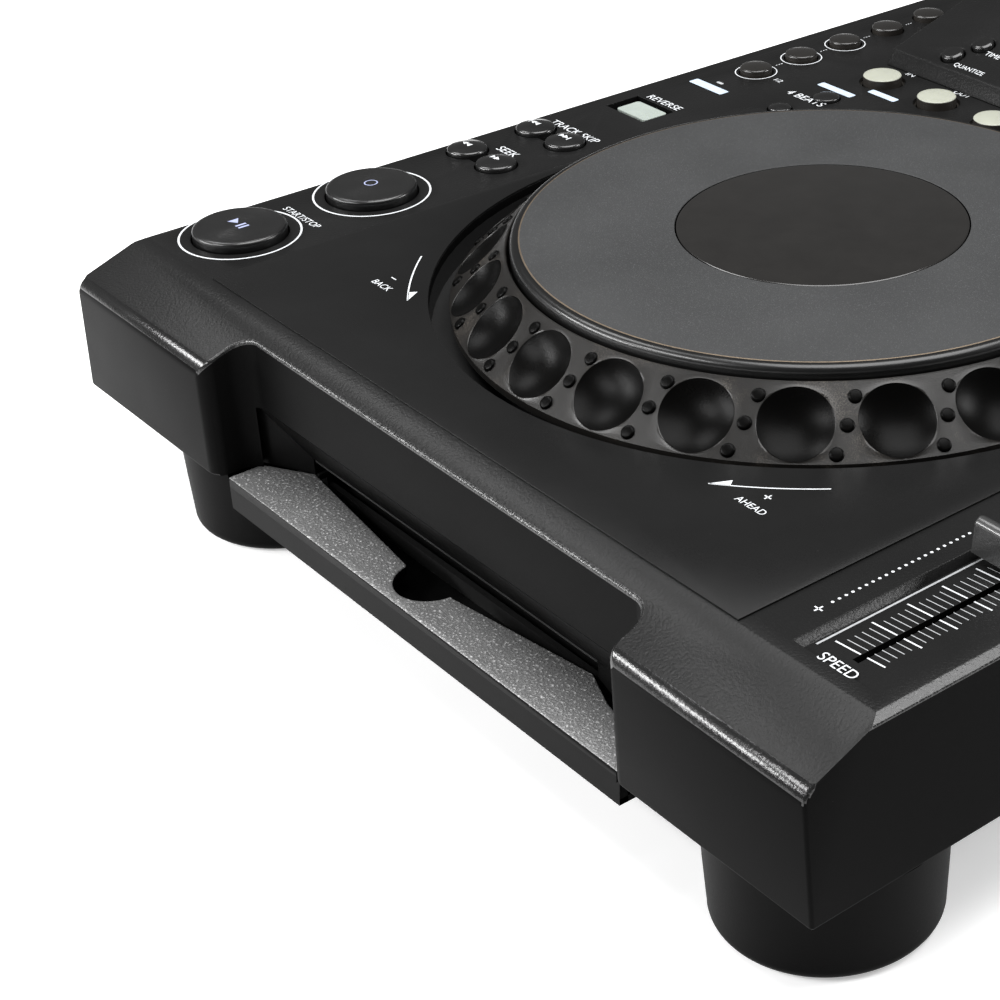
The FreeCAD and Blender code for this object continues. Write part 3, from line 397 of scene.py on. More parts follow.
def piece(name, bm, materials, node, stands_for=True, angle=32.0):
    """Turns bm, in millimetres, into a piece that rides with the node's body."""
    mesh = bpy.data.meshes.new(name)
    bmesh.ops.scale(bm, vec=(MM, MM, MM), verts=bm.verts)
    bmesh.ops.recalc_face_normals(bm, faces=bm.faces)
    bm.to_mesh(mesh)
    bm.free()
    for material in materials:
        mesh.materials.append(material)
    smooth(mesh, angle)
    made = bpy.data.objects.new(name, mesh)
    bpy.context.scene.collection.objects.link(made)
    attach(made, body_of(node))
    if stands_for:
        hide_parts(node)
    slot_of(node)
    return made


def node_mesh(node):
    """A welded copy of a node's mesh in millimetres, with flat faces joined."""
    bm = bmesh.new()
    bm.from_mesh(frame["nodes"][node].data)
    bmesh.ops.scale(bm, vec=(1 / MM,) * 3, verts=bm.verts)
    bmesh.ops.remove_doubles(bm, verts=bm.verts, dist=0.002)
    bmesh.ops.dissolve_limit(bm, angle_limit=math.radians(0.5), verts=bm.verts, edges=bm.edges)
    for face in bm.faces:
        face.material_index = 0
    return bm


def bevel(bm, chosen, width, segments=2, material=-1):
    """Rounds the sharp edges for which chosen(middle, normals) is true."""
    edges = []
    for edge in bm.edges:
        if len(edge.link_faces) != 2 or edge.calc_face_angle(0.0) < math.radians(28):
            continue
        middle = (edge.verts[0].co + edge.verts[1].co) / 2
        if chosen(middle, [f.normal for f in edge.link_faces]):
            edges.append(edge)
    bmesh.ops.bevel(bm, geom=edges, offset=width, offset_type="OFFSET", segments=segments, profile=0.5,
                    affect="EDGES", clamp_overlap=False, material=material, harden_normals=False)


def bevel_every(bm, width, segments=2):
    bevel(bm, lambda middle, normals: True, width, segments)


def lathe(bm, profile, centre=(0.0, 0.0), steps=96, material=0, materials=None):
    """Turns (radius, z) about the vertical axis through centre; materials gives one index per stretch."""
    rings = []
    for r, z in profile:
        if r < 1e-6:
            rings.append([bm.verts.new((centre[0], centre[1], z))])
            continue
        ring = []
        for i in range(steps):
            a = 2 * math.pi * i / steps
            ring.append(bm.verts.new((centre[0] + r * math.cos(a), centre[1] + r * math.sin(a), z)))
        rings.append(ring)
    for k, (low, high) in enumerate(zip(rings, rings[1:])):
        join_rings(bm, low, high, materials[k] if materials else material)


def join_rings(bm, low, high, material=0):
    """Faces between two closed rows of points, of which one may be a single point."""
    steps = max(len(low), len(high))
    for i in range(steps):
        j = (i + 1) % steps
        if len(low) == 1:
            corners = (low[0], high[i], high[j])
        elif len(high) == 1:
            corners = (low[i], low[j], high[0])
        else:
            corners = (low[i], low[j], high[j], high[i])
        bm.faces.new(corners).material_index = material


def arc(cx, cz, r, start, end, steps=6):
    """Points of a circular arc in a profile, angles in degrees."""
    points = []
    for i in range(steps + 1):
        a = math.radians(start + (end - start) * i / steps)
        points.append((cx + r * math.cos(a), cz + r * math.sin(a)))
    return points


def rounded_plan(points, steps=6):
    """Corner list (x, y, radius) as a smooth closed outline."""
    out = []
    count = len(points)
    for i, (x, y, r) in enumerate(points):
        p = Vector((x, y))
        if r <= 0:
            out.append((x, y))
            continue
        a = (Vector(points[i - 1][:2]) - p).normalized()
        b = (Vector(points[(i + 1) % count][:2]) - p).normalized()
        half = a.angle(b) / 2
        centre = p + (a + b).normalized() * (r / math.sin(half))
        start = p + a * (r / math.tan(half)) - centre
        end = p + b * (r / math.tan(half)) - centre
        turn = start.angle_signed(end)
        for k in range(steps + 1):
            c = math.cos(-turn * k / steps)
            s = math.sin(-turn * k / steps)
            out.append((centre.x + start.x * c - start.y * s, centre.y + start.x * s + start.y * c))
    return out


def slab(bm, outline, z0, z1, material=0):
    """Prism over a plan outline."""
    low = [bm.verts.new((x, y, z0)) for x, y in outline]
    high = [bm.verts.new((x, y, z1)) for x, y in outline]
    faces = [bm.faces.new(low), bm.faces.new(high)]
    for i in range(len(outline)):
        j = (i + 1) % len(outline)
        faces.append(bm.faces.new((low[i], low[j], high[j], high[i])))
    for face in faces:
        face.material_index = material


def block(bm, x0, x1, y0, y1, z0, z1, material=0):
    slab(bm, [(x0, y0), (x1, y0), (x1, y1), (x0, y1)], z0, z1, material)


def flat_print(bm, outline, place, material=0):
    """Thin printed patch; place turns plan millimetres into a point."""
    face = bm.faces.new([bm.verts.new(place(x, y)) for x, y in outline])
    face.material_index = material


def bar(bm, x0, x1, y0, y1, place, material=0):
    """Printed rectangle."""
    flat_print(bm, [(x0, y0), (x1, y0), (x1, y1), (x0, y1)], place, material)


def ring_print(bm, centre, r, width, place, material=0, start=0.0, end=360.0, steps=96):
    """Printed ring or part of one."""
    full = end - start >= 359.9
    rows = []
    for i in range(steps if full else steps + 1):
        a = math.radians(start + (end - start) * i / steps)
        rows.append([bm.verts.new(place(centre[0] + q * math.cos(a), centre[1] + q * math.sin(a)))
                     for q in (r - width / 2, r + width / 2)])
    for i in range(len(rows) if full else len(rows) - 1):
        j = (i + 1) % len(rows)
        face = bm.faces.new((rows[i][0], rows[i][1], rows[j][1], rows[j][0]))
        face.material_index = material


def on_panel(x, y):
    return (x, y, PANEL + PRINT_LIFT)


def on_sheet(x, y):
    return (x, y, SHEET + PRINT_LIFT)


def on_ramp(x, y):
    share = min(max((x - RAMP_X0) / (RAMP_X1 - RAMP_X0), 0.0), 1.0)
    return (x, y, PANEL - RAMP_DEPTH * (1 - share) + PRINT_LIFT)


def on_housing(x, run, lift=0.04):
    y = HOUSING_Y + run * math.cos(TILT) - lift * math.sin(TILT)
    return (x, y, HOUSING_Z + run * math.sin(TILT) + lift * math.cos(TILT))


def add_words(bm, text, place, x, end, y):
    """Adds flat lettering from x to end on the surface that place gives."""
    curve = bpy.data.curves.new("lettering", "FONT")
    curve.body = text
    helper = bpy.data.objects.new("lettering", curve)
    bpy.context.scene.collection.objects.link(helper)
    bpy.context.view_layer.update()
    mesh = bpy.data.meshes.new_from_object(helper.evaluated_get(bpy.context.evaluated_depsgraph_get()))
    scale = (end - x) / max(v.co.x for v in mesh.vertices)
    for v in mesh.vertices:
        v.co = Vector(place(x + v.co.x * scale, y + v.co.y * scale))
    bm.from_mesh(mesh)
    bpy.data.objects.remove(helper)
    bpy.data.curves.remove(curve)
    bpy.data.meshes.remove(mesh)


def in_recess(point):
    return -90 < point.x < 95 and point.y < -174 and point.z > 30


def build_cover():
    """Cover: rounded recess edges with a textured band that carries painted glints, bevelled long edges and
    soft wells.
    """
    bm = node_mesh("top_cover")

    def recess_rim(middle, normals):
        up = max(n.z for n in normals)
        side = min(abs(n.z) for n in normals)
        return in_recess(middle) and up > 0.3 and side < 0.2 and middle.z > 50

    def front_corner(middle, normals):
        upright = max(n.z for n in normals) < 0.9
        return abs(middle.x) > 149 and middle.y < -150 and upright and middle.z > SKIRT - 0.1

    def long_edge(middle, normals):
        return abs(middle.x) > 145.0 and middle.y > -172 and middle.z > 64.6

    def well_edge(middle, normals):
        return middle.z > PANEL - 1 and abs(middle.x) < 145 and middle.y > -170

    def skirt_edge(middle, normals):
        return abs(middle.z - SKIRT) < 0.1 and (abs(middle.x) > 150 or middle.y < -191)

    bevel(bm, recess_rim, 0.8, 3, TEXTURED_GLINT)
    bevel(bm, front_corner, 0.9, 3, UPRIGHT)
    bevel(bm, long_edge, 0.35, 2)
    bevel(bm, well_edge, 0.22, 2)
    bevel(bm, skirt_edge, 0.8, 3)
    for face in bm.faces:
        middle = face.calc_center_median()
        normal = face.normal
        # The long side bevels take the grained band with its painted glints.
        if abs(normal.x) > 0.2 and normal.z > 0.2 and abs(middle.x) > 147 and middle.z > 58:
            face.material_index = TEXTURED_GLINT
        elif middle.y < -186 and -0.95 < normal.y and 0.2 < normal.z < 0.9:
            face.material_index = WORN
        # Upright faces take the darker copy of the black as painted shade.
        elif abs(normal.z) < 0.3 and face.material_index == 0:
            face.material_index = UPRIGHT
    finishes = [PANEL_BLACK, EDGE_GRAIN_GLINT, SHADED_SIDE_BLACK, NOSE_WORN]
    return piece("cover_shell", bm, finishes, "top_cover", angle=40)


def build_plain(node, name, material, width=0.25, segments=2, angle=40):
    """A node's own form with its edges softened."""
    bm = node_mesh(node)
    bevel_every(bm, width, segments)
    return piece(name, bm, [material], node, angle=angle)


def build_lip():
    """Lip: coarse grained top, smooth front apron, shallow V and a round finger notch."""
    x0, x1 = LIP_X
    under = SKIRT - LIP_T
    foot = SKIRT - LIP_H
    outline = [(x0, LIP_Y), (x1, LIP_Y), (x1, -182.2), (83.0, -180.4), (65.0, -176.4), (54.0, -172.2)]
    notch = [(NOTCH[0] + NOTCH_R * math.cos(math.radians(a)), NOTCH[1] + NOTCH_R * math.sin(math.radians(a)))
             for a in range(-4, -180, -8)]
    outline += [(6.2, -178.4)] + notch + [(-14.0, -178.4), (-67.0, -172.2), (x0, -179.9)]
    bm = bmesh.new()
    slab(bm, outline, under, SKIRT)
    block(bm, x0, x1, LIP_Y, LIP_Y + LIP_T, foot, under)
    bmesh.ops.remove_doubles(bm, verts=bm.verts, dist=0.01)
    block(bm, x0, x1, LIP_Y + 0.1, -169.7, foot, foot + 1.6)
    bmesh.ops.recalc_face_normals(bm, faces=bm.faces)
    bevel(bm, lambda middle, normals: middle.z > 24, 0.45, 3)
    for face in bm.faces:
        # Upward faces take the lighter grained finish with its painted light; the rest is the smooth apron.
        grained_lit_top = face.normal.z > 0.6 and face.calc_center_median().z > 25
        face.material_index = 0 if grained_lit_top else 1
    return piece("lip", bm, [LIP_GRAIN_GLINT, SMOOTH_BLACK], "slot_lip", angle=40)


def build_feet():
    """Feet with a rounded lower edge and a sunk screw hole."""
    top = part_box("feet")[1].z / MM
    bm = bmesh.new()
    for x, y in FOOT_PLACES:
        profile = [(2.4, 14.0), (6.0, 14.0), (6.0, 0.6), (6.6, 0.0), (22.6, 0.0)]
        profile += arc(22.7, 3.0, 3.0, -84, 4, 8) + [(26.3, 14.0), (26.84, top), (2.4, top)]
        lathe(bm, profile, (x, y), 128)
    for v in bm.verts:
        # The pan and the lip pass over a corner of the front left foot.
        if PAN_X < v.co.x < 0 and v.co.y < 0 and v.co.z > PAN_UNDER:
            v.co.z = PAN_UNDER
    return piece("foot_set", bm, [FOOT_BLACK], "feet")


def cone_point(r, angle, out=0.0):
    """Point on the jog ring's cone, out along its normal."""
    slant = math.atan2(RING_R - RING_TOP_R, RING_TOP_Z - RING_Z)
    z = RING_Z + (RING_R - r) * (RING_TOP_Z - RING_Z) / (RING_R - RING_TOP_R)
    reach = r + out * math.cos(slant)
    return (JOG[0] + reach * math.cos(angle), JOG[1] + reach * math.sin(angle), z + out * math.sin(slant))


def build_ring():
    """Jog ring: a cone with spherical dimples, each with a crisp rim, and rows of three studs."""
    bm = bmesh.new()
    for k in range(DIMPLES):
        add_dimple(bm, math.radians(FIRST_DIMPLE_DEG + 360.0 / DIMPLES * k))
    bmesh.ops.remove_doubles(bm, verts=bm.verts, dist=0.02)
    lathe(bm, [(93.2, 62.4), (97.9, 62.4), (98.4, 62.8), (RING_R, 63.6), (RING_R, RING_Z + 0.03)], JOG, 288)
    lip = [(RING_TOP_R + 0.05, RING_TOP_Z - 0.02), (83.1, 78.35), (82.85, 78.1), (82.85, 66.4)]
    lathe(bm, lip, JOG, 288)
    for k in range(DIMPLES):
        middle = math.radians(FIRST_DIMPLE_DEG + 360.0 / DIMPLES * (k + 0.5))
        for r, shift in ((86.2, 1.5), (91.45, 0.0), (96.7, -1.7)):
            add_stud(bm, r, middle + math.radians(shift))
    # The dimples and the studs take the darker rubber as painted shade.
    return piece("grip_ring", bm, [RING_BLACK, DIMPLE_SHADE_BLACK], "jog_ring", angle=38)


def add_dimple(bm, centre):
    """One dimple with the sector of the cone around it; p runs around the ring and q up its slope."""
    slant_len = math.hypot(RING_R - RING_TOP_R, RING_TOP_Z - RING_Z)
    per_mm = (RING_R - RING_TOP_R) / slant_len
    half = slant_len / 2
    middle_r = (RING_R + RING_TOP_R) / 2
    middle_q = -0.35
    sector = math.pi / DIMPLES
    ball = (DIMPLE_R ** 2 + DIMPLE_DEPTH ** 2) / (2 * DIMPLE_DEPTH)
    steps = 64
    angles = [2 * math.pi * i / steps for i in range(steps)]
    high_corner = math.atan2(half - middle_q, sector * (middle_r - half * per_mm))
    low_corner = math.atan2(-half - middle_q, sector * (middle_r + half * per_mm))
    for corner in (high_corner, math.pi - high_corner, low_corner, math.pi - low_corner):
        angles[round(corner / (2 * math.pi) * steps) % steps] = corner

    def place(p, q, out):
        r = middle_r - q * per_mm
        return bm.verts.new(cone_point(r, centre + p / r, out))

    bowl = [[place(0.0, middle_q, -DIMPLE_DEPTH)]]
    for d in (1.6, 3.2, 4.8, 6.2, 7.4, 8.3, 8.9, DIMPLE_R):
        depth = math.sqrt(ball * ball - d * d) - (ball - DIMPLE_DEPTH)
        bowl.append([place(d * math.cos(a), middle_q + d * math.sin(a), -depth) for a in angles])
    around = [bowl[-1]]
    for share, out in ((0.035, 0.12), (0.10, 0.10), (0.30, 0.0), (0.65, 0.0), (1.0, 0.0)):
        row = []
        for a in angles:
            c, s = math.cos(a), math.sin(a)
            reach = sector * (middle_r - middle_q * per_mm) / max(abs(c) + sector * per_mm * s, 1e-6)
            up = (half - middle_q) / s if s > 1e-6 else 1e9
            down = (half + middle_q) / -s if s < -1e-6 else 1e9
            d = DIMPLE_R + (min(reach, up, down) - DIMPLE_R) * share
            row.append(place(d * c, middle_q + d * s, out))
        around.append(row)
    for rows, material in ((bowl, 1), (around, 0)):
        for low, high in zip(rows, rows[1:]):
            join_rings(bm, low, high, material)


def add_stud(bm, r, angle):
    """One small round stud standing on the cone."""
    base = Vector(cone_point(r, angle))
    normal = (Vector(cone_point(r, angle, 1.0)) - base).normalized()
    side = normal.cross(Vector((0, 0, 1))).normalized()
    other = normal.cross(side)
    rings = []
    for radius, up in STUD_PROFILE:
        middle = base + normal * up
        if radius == 0:
            rings.append([bm.verts.new(middle)])
            continue
        rings.append([bm.verts.new(middle + side * (radius * math.cos(a)) + other * (radius * math.sin(a)))
                      for a in (math.pi * i / 8 for i in range(16))])
    for low, high in zip(rings, rings[1:]):
        join_rings(bm, low, high, 1)


def build_platter():
    """Touch platter: matt annulus, thin bright line, glossy rounded rim, and the skirt under it."""
    z = PLATTER_Z
    bm = bmesh.new()
    profile = [(39.0, z - 1.8), (39.0, z - 0.15), (39.15, z), (79.2, z), (79.35, z - 0.02), (79.6, z - 0.06)]
    kinds = [1, 0, 0, 2, 2]
    rim = arc(80.1, z - 2.0, 1.9, 88, 0, 8)
    profile += rim + [(82.0, z - 5.6), (81.7, z - 6.0), (79.8, z - 6.0), (79.8, z - 1.8)]
    kinds += [1] * (len(profile) - 1 - len(kinds))
    lathe(bm, profile + [(39.0, z - 1.8)], JOG, 256, materials=kinds + [1])
    lathe(bm, [(60.5, z - 1.8), (60.5, 69.0), (63.0, 69.0), (63.0, z - 1.8)], JOG, 128, 1)
    return piece("platter", bm, [PLATTER_GREY, RIM_BLACK, GOLD_LINE], "touch_platter")


def build_window():
    """Smoked window over the dial's display."""
    z = PLATTER_Z
    bm = bmesh.new()
    edge = [(38.6, z - 2.0), (38.6, z - 0.2), (38.4, z - 0.05), (38.1, z - 0.02)]
    lathe(bm, [(0.0, z - 2.0), *edge, (0.0, z - 0.02)], JOG, 192)
    return piece("dial_window", bm, [WINDOW_SMOKE], "jog_window")


def cap_foot(r):
    """Profile of a round cap's stem and flange below the panel, up to its side."""
    return [(0.0, STEM_Z), (1.8, STEM_Z), (1.8, FLANGE_Z), (r + 0.3, FLANGE_Z), (r + 0.3, FLANGE_Z + 1.6)]


def button(name, node, x, y, r, height, crown, edge, materials, skirt=0.0):
    """Round domed cap; a second material covers its side up to the height skirt above the panel."""
    top = PANEL + height
    profile = cap_foot(r) + [(r, FLANGE_Z + 1.7), (r, top - crown - edge)]
    profile += arc(r - edge, top - crown - edge, edge, 0, 80, 5)
    profile += [((r - edge) * share, top - crown * share ** 2) for share in (0.75, 0.5, 0.25, 0.0)]
    bm = bmesh.new()
    lathe(bm, profile, (x, y), 72)
    for face in bm.faces:
        if skirt and face.calc_center_median().z < PANEL + skirt:
            face.material_index = 1
    return piece(name, bm, materials, node)


def transport_cap(name, node, y):
    """Large flat cap of turned metal with a gloss black side."""
    x = COLUMN_X + 0.2
    r = 12.85
    top = PANEL + 3.2
    profile = [(0.0, STEM_Z), (1.8, STEM_Z), (1.8, FLANGE_Z), (13.2, FLANGE_Z), (13.2, FLANGE_Z + 1.6)]
    profile += [(r, FLANGE_Z + 1.7), (r, top - 1.5)] + arc(r - 1.0, top - 1.45, 1.0, 0, 62, 5)
    side = 11
    profile += [(11.6, top - 0.42), (11.0, top - 0.48), (7.0, top - 0.3), (3.0, top - 0.1), (0.0, top - 0.08)]
    bm = bmesh.new()
    lathe(bm, profile, (x, y), 128, materials=[1] * side + [0] * (len(profile) - side - 1))
    piece(name, bm, [spun(name + "_metal", 0.08, (x, y)), RIM_BLACK], node)
    glyph(name + "_glyph", node, x, y, top - 0.04)


def well_liner(bm, x, y, r0, r1, depth):
    """Thin ring in a button's well."""
    lathe(bm, [(r1, PANEL - 0.2), (r1 - 0.15, PANEL - depth), (r0, PANEL - depth)], (x, y), 64)


def build_buttons():
    transport_cap("start_cap", "play_button", START_Y)
    transport_cap("cue_cap", "cue_button", CUE_Y)
    for row, y in (("search", SEARCH_Y), ("skip", SKIP_Y)):
        for side, word in ((-1, "back"), (1, "forward")):
            node = "%s_%s_button" % (row, word)
            x = COLUMN_X + side * 7.5
            button(row + "_" + word + "_cap", node, x, y, 6.0, 2.5, 1.0, 0.9, [CAP_BLACK])
            arrows(node, x, y, PANEL + 2.5, side, row == "skip")
    for i in range(BEATS):
        button("beat_cap_%d" % (i + 1), "beat_button_%d" % (i + 1), BEAT_X, BEAT_Y + BEAT_STEP * i,
               5.2, 2.5, 0.5, 0.7, [SMOKED, OLIVE_AND_SHADE], 1.1)
    button("mode_cap", "mode_button", COLUMN_X - 1.8, 136.7, 5.2, 2.5, 0.8, 0.8, [CAP_BLACK])
    # The cream caps' sides up to 2.1 mm above the panel are dark olive: olive skirt with painted shade of the
    # well.
    for i, node in enumerate(LOOP_NODES):
        button("loop_cap_%d" % (i + 1), node, LOOP_X + LOOP_STEP * i, LOOP_Y,
               6.2, 2.9, 0.45, 0.6, [CREAM, OLIVE_AND_SHADE], 2.1)
    button("four_cap", "four_beat_button", -100.3, 34.7, 4.2, 1.75, 0.8, 0.5, [CAP_BLACK])
    button("slip_cap", "slip_button", -103.6, 18.4, 3.6, 1.55, 0.7, 0.5, [CAP_BLACK])
    button("lock_cap", "speed_lock_button", FADER[0], -34.0, 5.2, 2.35, 0.8, 0.6, [CAP_BLACK])


def build_direction_key():
    """Milky rectangular key on its flange and stem."""
    bm = bmesh.new()
    x0, x1 = -139.3, -124.9
    y0, y1 = -18.0, -9.2
    outline = rounded_plan([(x0, y0, 1.0), (x1, y0, 1.0), (x1, y1, 1.0), (x0, y1, 1.0)])
    slab(bm, outline, FLANGE_Z + 0.2, KEY_TOP)
    block(bm, -143.3, -122.9, -20.6, -6.2, FLANGE_Z, FLANGE_Z + 1.5, 1)
    block(bm, -134.9, -131.3, -15.2, -11.6, STEM_Z, FLANGE_Z, 1)
    bevel(bm, lambda middle, normals: middle.z > KEY_TOP - 0.05, 0.7, 3)
    piece("direction_cap", bm, [MILKY, INNER], "direction_key")


def glyph(name, node, x, y, z):
    """Run and pause signs on the start cap, a small ring on the cue cap."""
    bm = bmesh.new()

    def place(px, py):
        return (px, py, z)

    if node == "play_button":
        flat_print(bm, [(x - 3.4, y - 1.7), (x - 0.6, y), (x - 3.4, y + 1.7)], place)
        for side in (0.6, 2.2):
            bar(bm, x + side, x + side + 0.8, y - 1.6, y + 1.6, place)
    else:
        ring_print(bm, (x, y), 1.8, 0.35, place)
    piece(name, bm, [GLYPH_INK], node, stands_for=False)


def arrows(node, x, y, z, side, skip):
    """Two small arrow heads on a domed cap, with a bar for a skip."""
    bm = bmesh.new()

    def place(px, py):
        return (px, py, z - 0.02 - 0.0275 * ((px - x) ** 2 + (py - y) ** 2) + 0.06)

    for start in (-1.9, 0.0):
        tip = x + side * (start + 1.9)
        back = x + side * start
        flat_print(bm, [(back, y - 1.0), (tip, y), (back, y + 1.0)], place)
    if skip:
        edge = x + side * 2.0
        bar(bm, edge, edge + side * 0.45, y - 1.0, y + 1.0, place)
    piece(node + "_sign", bm, [WHITE_INK], node, stands_for=False)


def build_well_rims():
    """Olive rims in the loop buttons' wells."""
    bm = bmesh.new()
    for i in range(len(LOOP_NODES)):
        well_liner(bm, LOOP_X + LOOP_STEP * i, LOOP_Y, 6.5, 7.38, 1.2)
    piece("well_rims", bm, [OLIVE_AND_SHADE], "top_cover", stands_for=False)


def build_prints():
    """Rings, rules, dots, arrows and generic legends on the panel and on the dial's sheet."""
    bm = bmesh.new()
    for y in (START_Y, CUE_Y):
        ring_print(bm, (COLUMN_X + 0.2, y), 16.5, 0.55, on_panel)
    for i in range(3):
        ring_print(bm, (BEAT_X, BEAT_Y + BEAT_STEP * i), 6.7, 0.35, on_panel)
    for i in range(BEATS - 1):
        for dash in range(3):
            y = BEAT_Y + BEAT_STEP * i + 8.4 + dash * 1.1
            bar(bm, BEAT_X - 0.15, BEAT_X + 0.15, y, y + 0.6, on_panel)
    label(bm, -141.3, -125.4, 12.3, 16.0, 2)
    label(bm, -111.5, -96.0, 40.6, 43.6, 2)
    label(bm, -96.0, -84.0, 48.2, 51.0, 2)
    label(bm, -134.9, -131.9, 18.2, 19.4, 1, 6)
    for text, x, end, y in LEGENDS:
        add_words(bm, text, on_panel, x, end, y)
    piece("panel_prints", bm, [WHITE_INK, GREY_INK, BLUE_INK], "top_cover", stands_for=False)
    bm = bmesh.new()
    sweep(bm, 113.0, -40.5, -54.6)
    sweep(bm, 109.0, -137.5, -123.2)
    sign(bm, 73.6, -135.9, 1.1, 0.18, on_sheet, True)
    sign(bm, -78.9, -136.5, 1.1, 0.18, on_sheet, False)
    add_words(bm, "AHEAD", on_sheet, 69.0, 78.6, -142.0)
    add_words(bm, "BACK", on_sheet, -81.6, -73.6, -142.0)
    piece("sheet_prints", bm, [WHITE_INK], "jog_surround", stands_for=False)


def sign(bm, x, y, reach, half, place, plus):
    """Small plus or minus."""
    bar(bm, x - reach, x + reach, y - half, y + half, place)
    if plus:
        bar(bm, x - half, x + half, y - reach, y + reach, place)


def label(bm, x0, x1, y0, y1, material, steps=3):
    """Printed patch with rounded corners."""
    r = 0.6
    outline = rounded_plan([(x0, y0, r), (x1, y0, r), (x1, y1, r), (x0, y1, r)], steps)
    flat_print(bm, outline, on_panel, material)


def sweep(bm, r, start, end):
    """Arc along the dial that ends in an arrow head."""
    ring_print(bm, JOG, r, 0.4, on_sheet, 0, min(start, end), max(start, end), 40)
    along = -1 if end < start else 1
    tip = math.radians(end)
    back = math.radians(end - along * 2.6)
    head = ((r, tip), (r, back), (r - 2.4, back))
    flat_print(bm, [(JOG[0] + q * math.cos(a), JOG[1] + q * math.sin(a)) for q, a in head], on_sheet)


def build_scale():
    """The fader's scale in its ramp, the dots and signs beside it, and a painted highlight along the ramp's
    edge.
    """
    bm = bmesh.new()
    for i in range(51):
        y = -160.0 + 2.0 * i
        major = i % 5 == 0
        half = 0.21 if major else 0.11
        shorter = 0.0 if major else 1.4
        for x0, x1 in ((123.3 + shorter, 130.9), (132.9, 138.2 - shorter * 0.6)):
            bar(bm, x0, x1, y - half, y + half, on_ramp, 0 if major else 1)
    for i in range(22):
        disc_print(bm, 114.1, -152.6 + 1.89 * i, 0.38)
    sign(bm, 114.0, -156.4, 1.2, 0.2, on_panel, True)
    sign(bm, 114.0, -63.0, 1.2, 0.2, on_panel, False)
    add_words(bm, "0", on_panel, 113.2, 115.2, -110.3)
    add_words(bm, "SPEED", on_panel, 126.5, 137.2, -168.2)
    # Painted highlight: a grey strip along the ramp's left edge stands for lamp light on the pocket's wall.
    bar(bm, 121.0, 121.6, -163.4, -57.0, on_ramp, 1)
    piece("fader_scale", bm, [WHITE_INK, GREY_INK], "top_cover", stands_for=False)


def build_fader():
    """Saddle-shaped fader knob with its line."""
    bm = bmesh.new()
    x0, x1 = FADER[0] - 12.0, FADER[0] + 12.0
    z0 = PANEL + 0.5
    half = 8.6
    rows = [(FADER[1] + half * t, z0 + saddle(t)) for t in (-1 + i / 12 for i in range(25))]
    low = [bm.verts.new((x, y, z0)) for x in (x0, x1) for y in (FADER[1] - half, FADER[1] + half)]
    left = [bm.verts.new((x0 + 0.9, y, z)) for y, z in rows]
    right = [bm.verts.new((x1 - 0.9, y, z)) for y, z in rows]
    for i in range(len(rows) - 1):
        bm.faces.new((left[i], left[i + 1], right[i + 1], right[i]))
    bm.faces.new((low[0], low[1], *reversed(left)))
    bm.faces.new((low[2], low[3], *reversed(right)))
    bm.faces.new((low[0], low[2], right[0], left[0]))
    bm.faces.new((low[1], low[3], right[-1], left[-1]))
    bm.faces.new((low[0], low[1], low[3], low[2]))
    bmesh.ops.recalc_face_normals(bm, faces=bm.faces)
    bevel(bm, lambda middle, normals: middle.z > z0 + 1, 0.55, 3)
    piece("fader_cap", bm, [GRAPHITE], "fader_knob")
    line = bmesh.new()
    z = z0 + saddle(0.0) + PRINT_LIFT
    bar(line, x0 + 1.2, x1 - 1.2, FADER[1] - 0.3, FADER[1] + 0.3, lambda px, py: (px, py, z))
    piece("fader_line", line, [WHITE_INK], "fader_knob", stands_for=False)


def saddle(t):
    """Height of the fader knob from front (-1) to back (1): two horns with a hollow between them."""
    rise = 4.9 * math.sin(min(abs(t) * 1.18, 1.0) * math.pi / 2) ** 2
    return 4.0 + rise - 1.2 * max(abs(t) - 0.85, 0) / 0.15


def disc_print(bm, x, y, r):
    """Printed dot."""
    rim = [(x + r * math.cos(math.pi * i / 8), y + r * math.sin(math.pi * i / 8)) for i in range(16)]
    flat_print(bm, rim, on_panel)


def build_housing():
    """Screen housing with softened edges, its window and its buttons."""
    build_plain("screen_housing", "housing", PANEL_BLACK, 0.8, 3)
    build_plain("screen_window", "screen_glass", WINDOW_SMOKE, 0.15)
    for node in ("quantize_button", "time_button", "back_button", "menu_button"):
        build_plain(node, node + "_cap", CAP_BLACK, 0.25)
    build_plain("selector_knob", "selector_cap", GRAPHITE, 0.3)
    build_plain("speed_knob", "speed_cap", GRAPHITE, 0.3)
    bm = bmesh.new()
    add_words(bm, "QUANTIZE", on_housing, -84.0, -71.0, 2.2)
    add_words(bm, "TIME", on_housing, -79.0, -72.6, 11.5)
    piece("housing_prints", bm, [WHITE_INK], "screen_housing", stands_for=False)


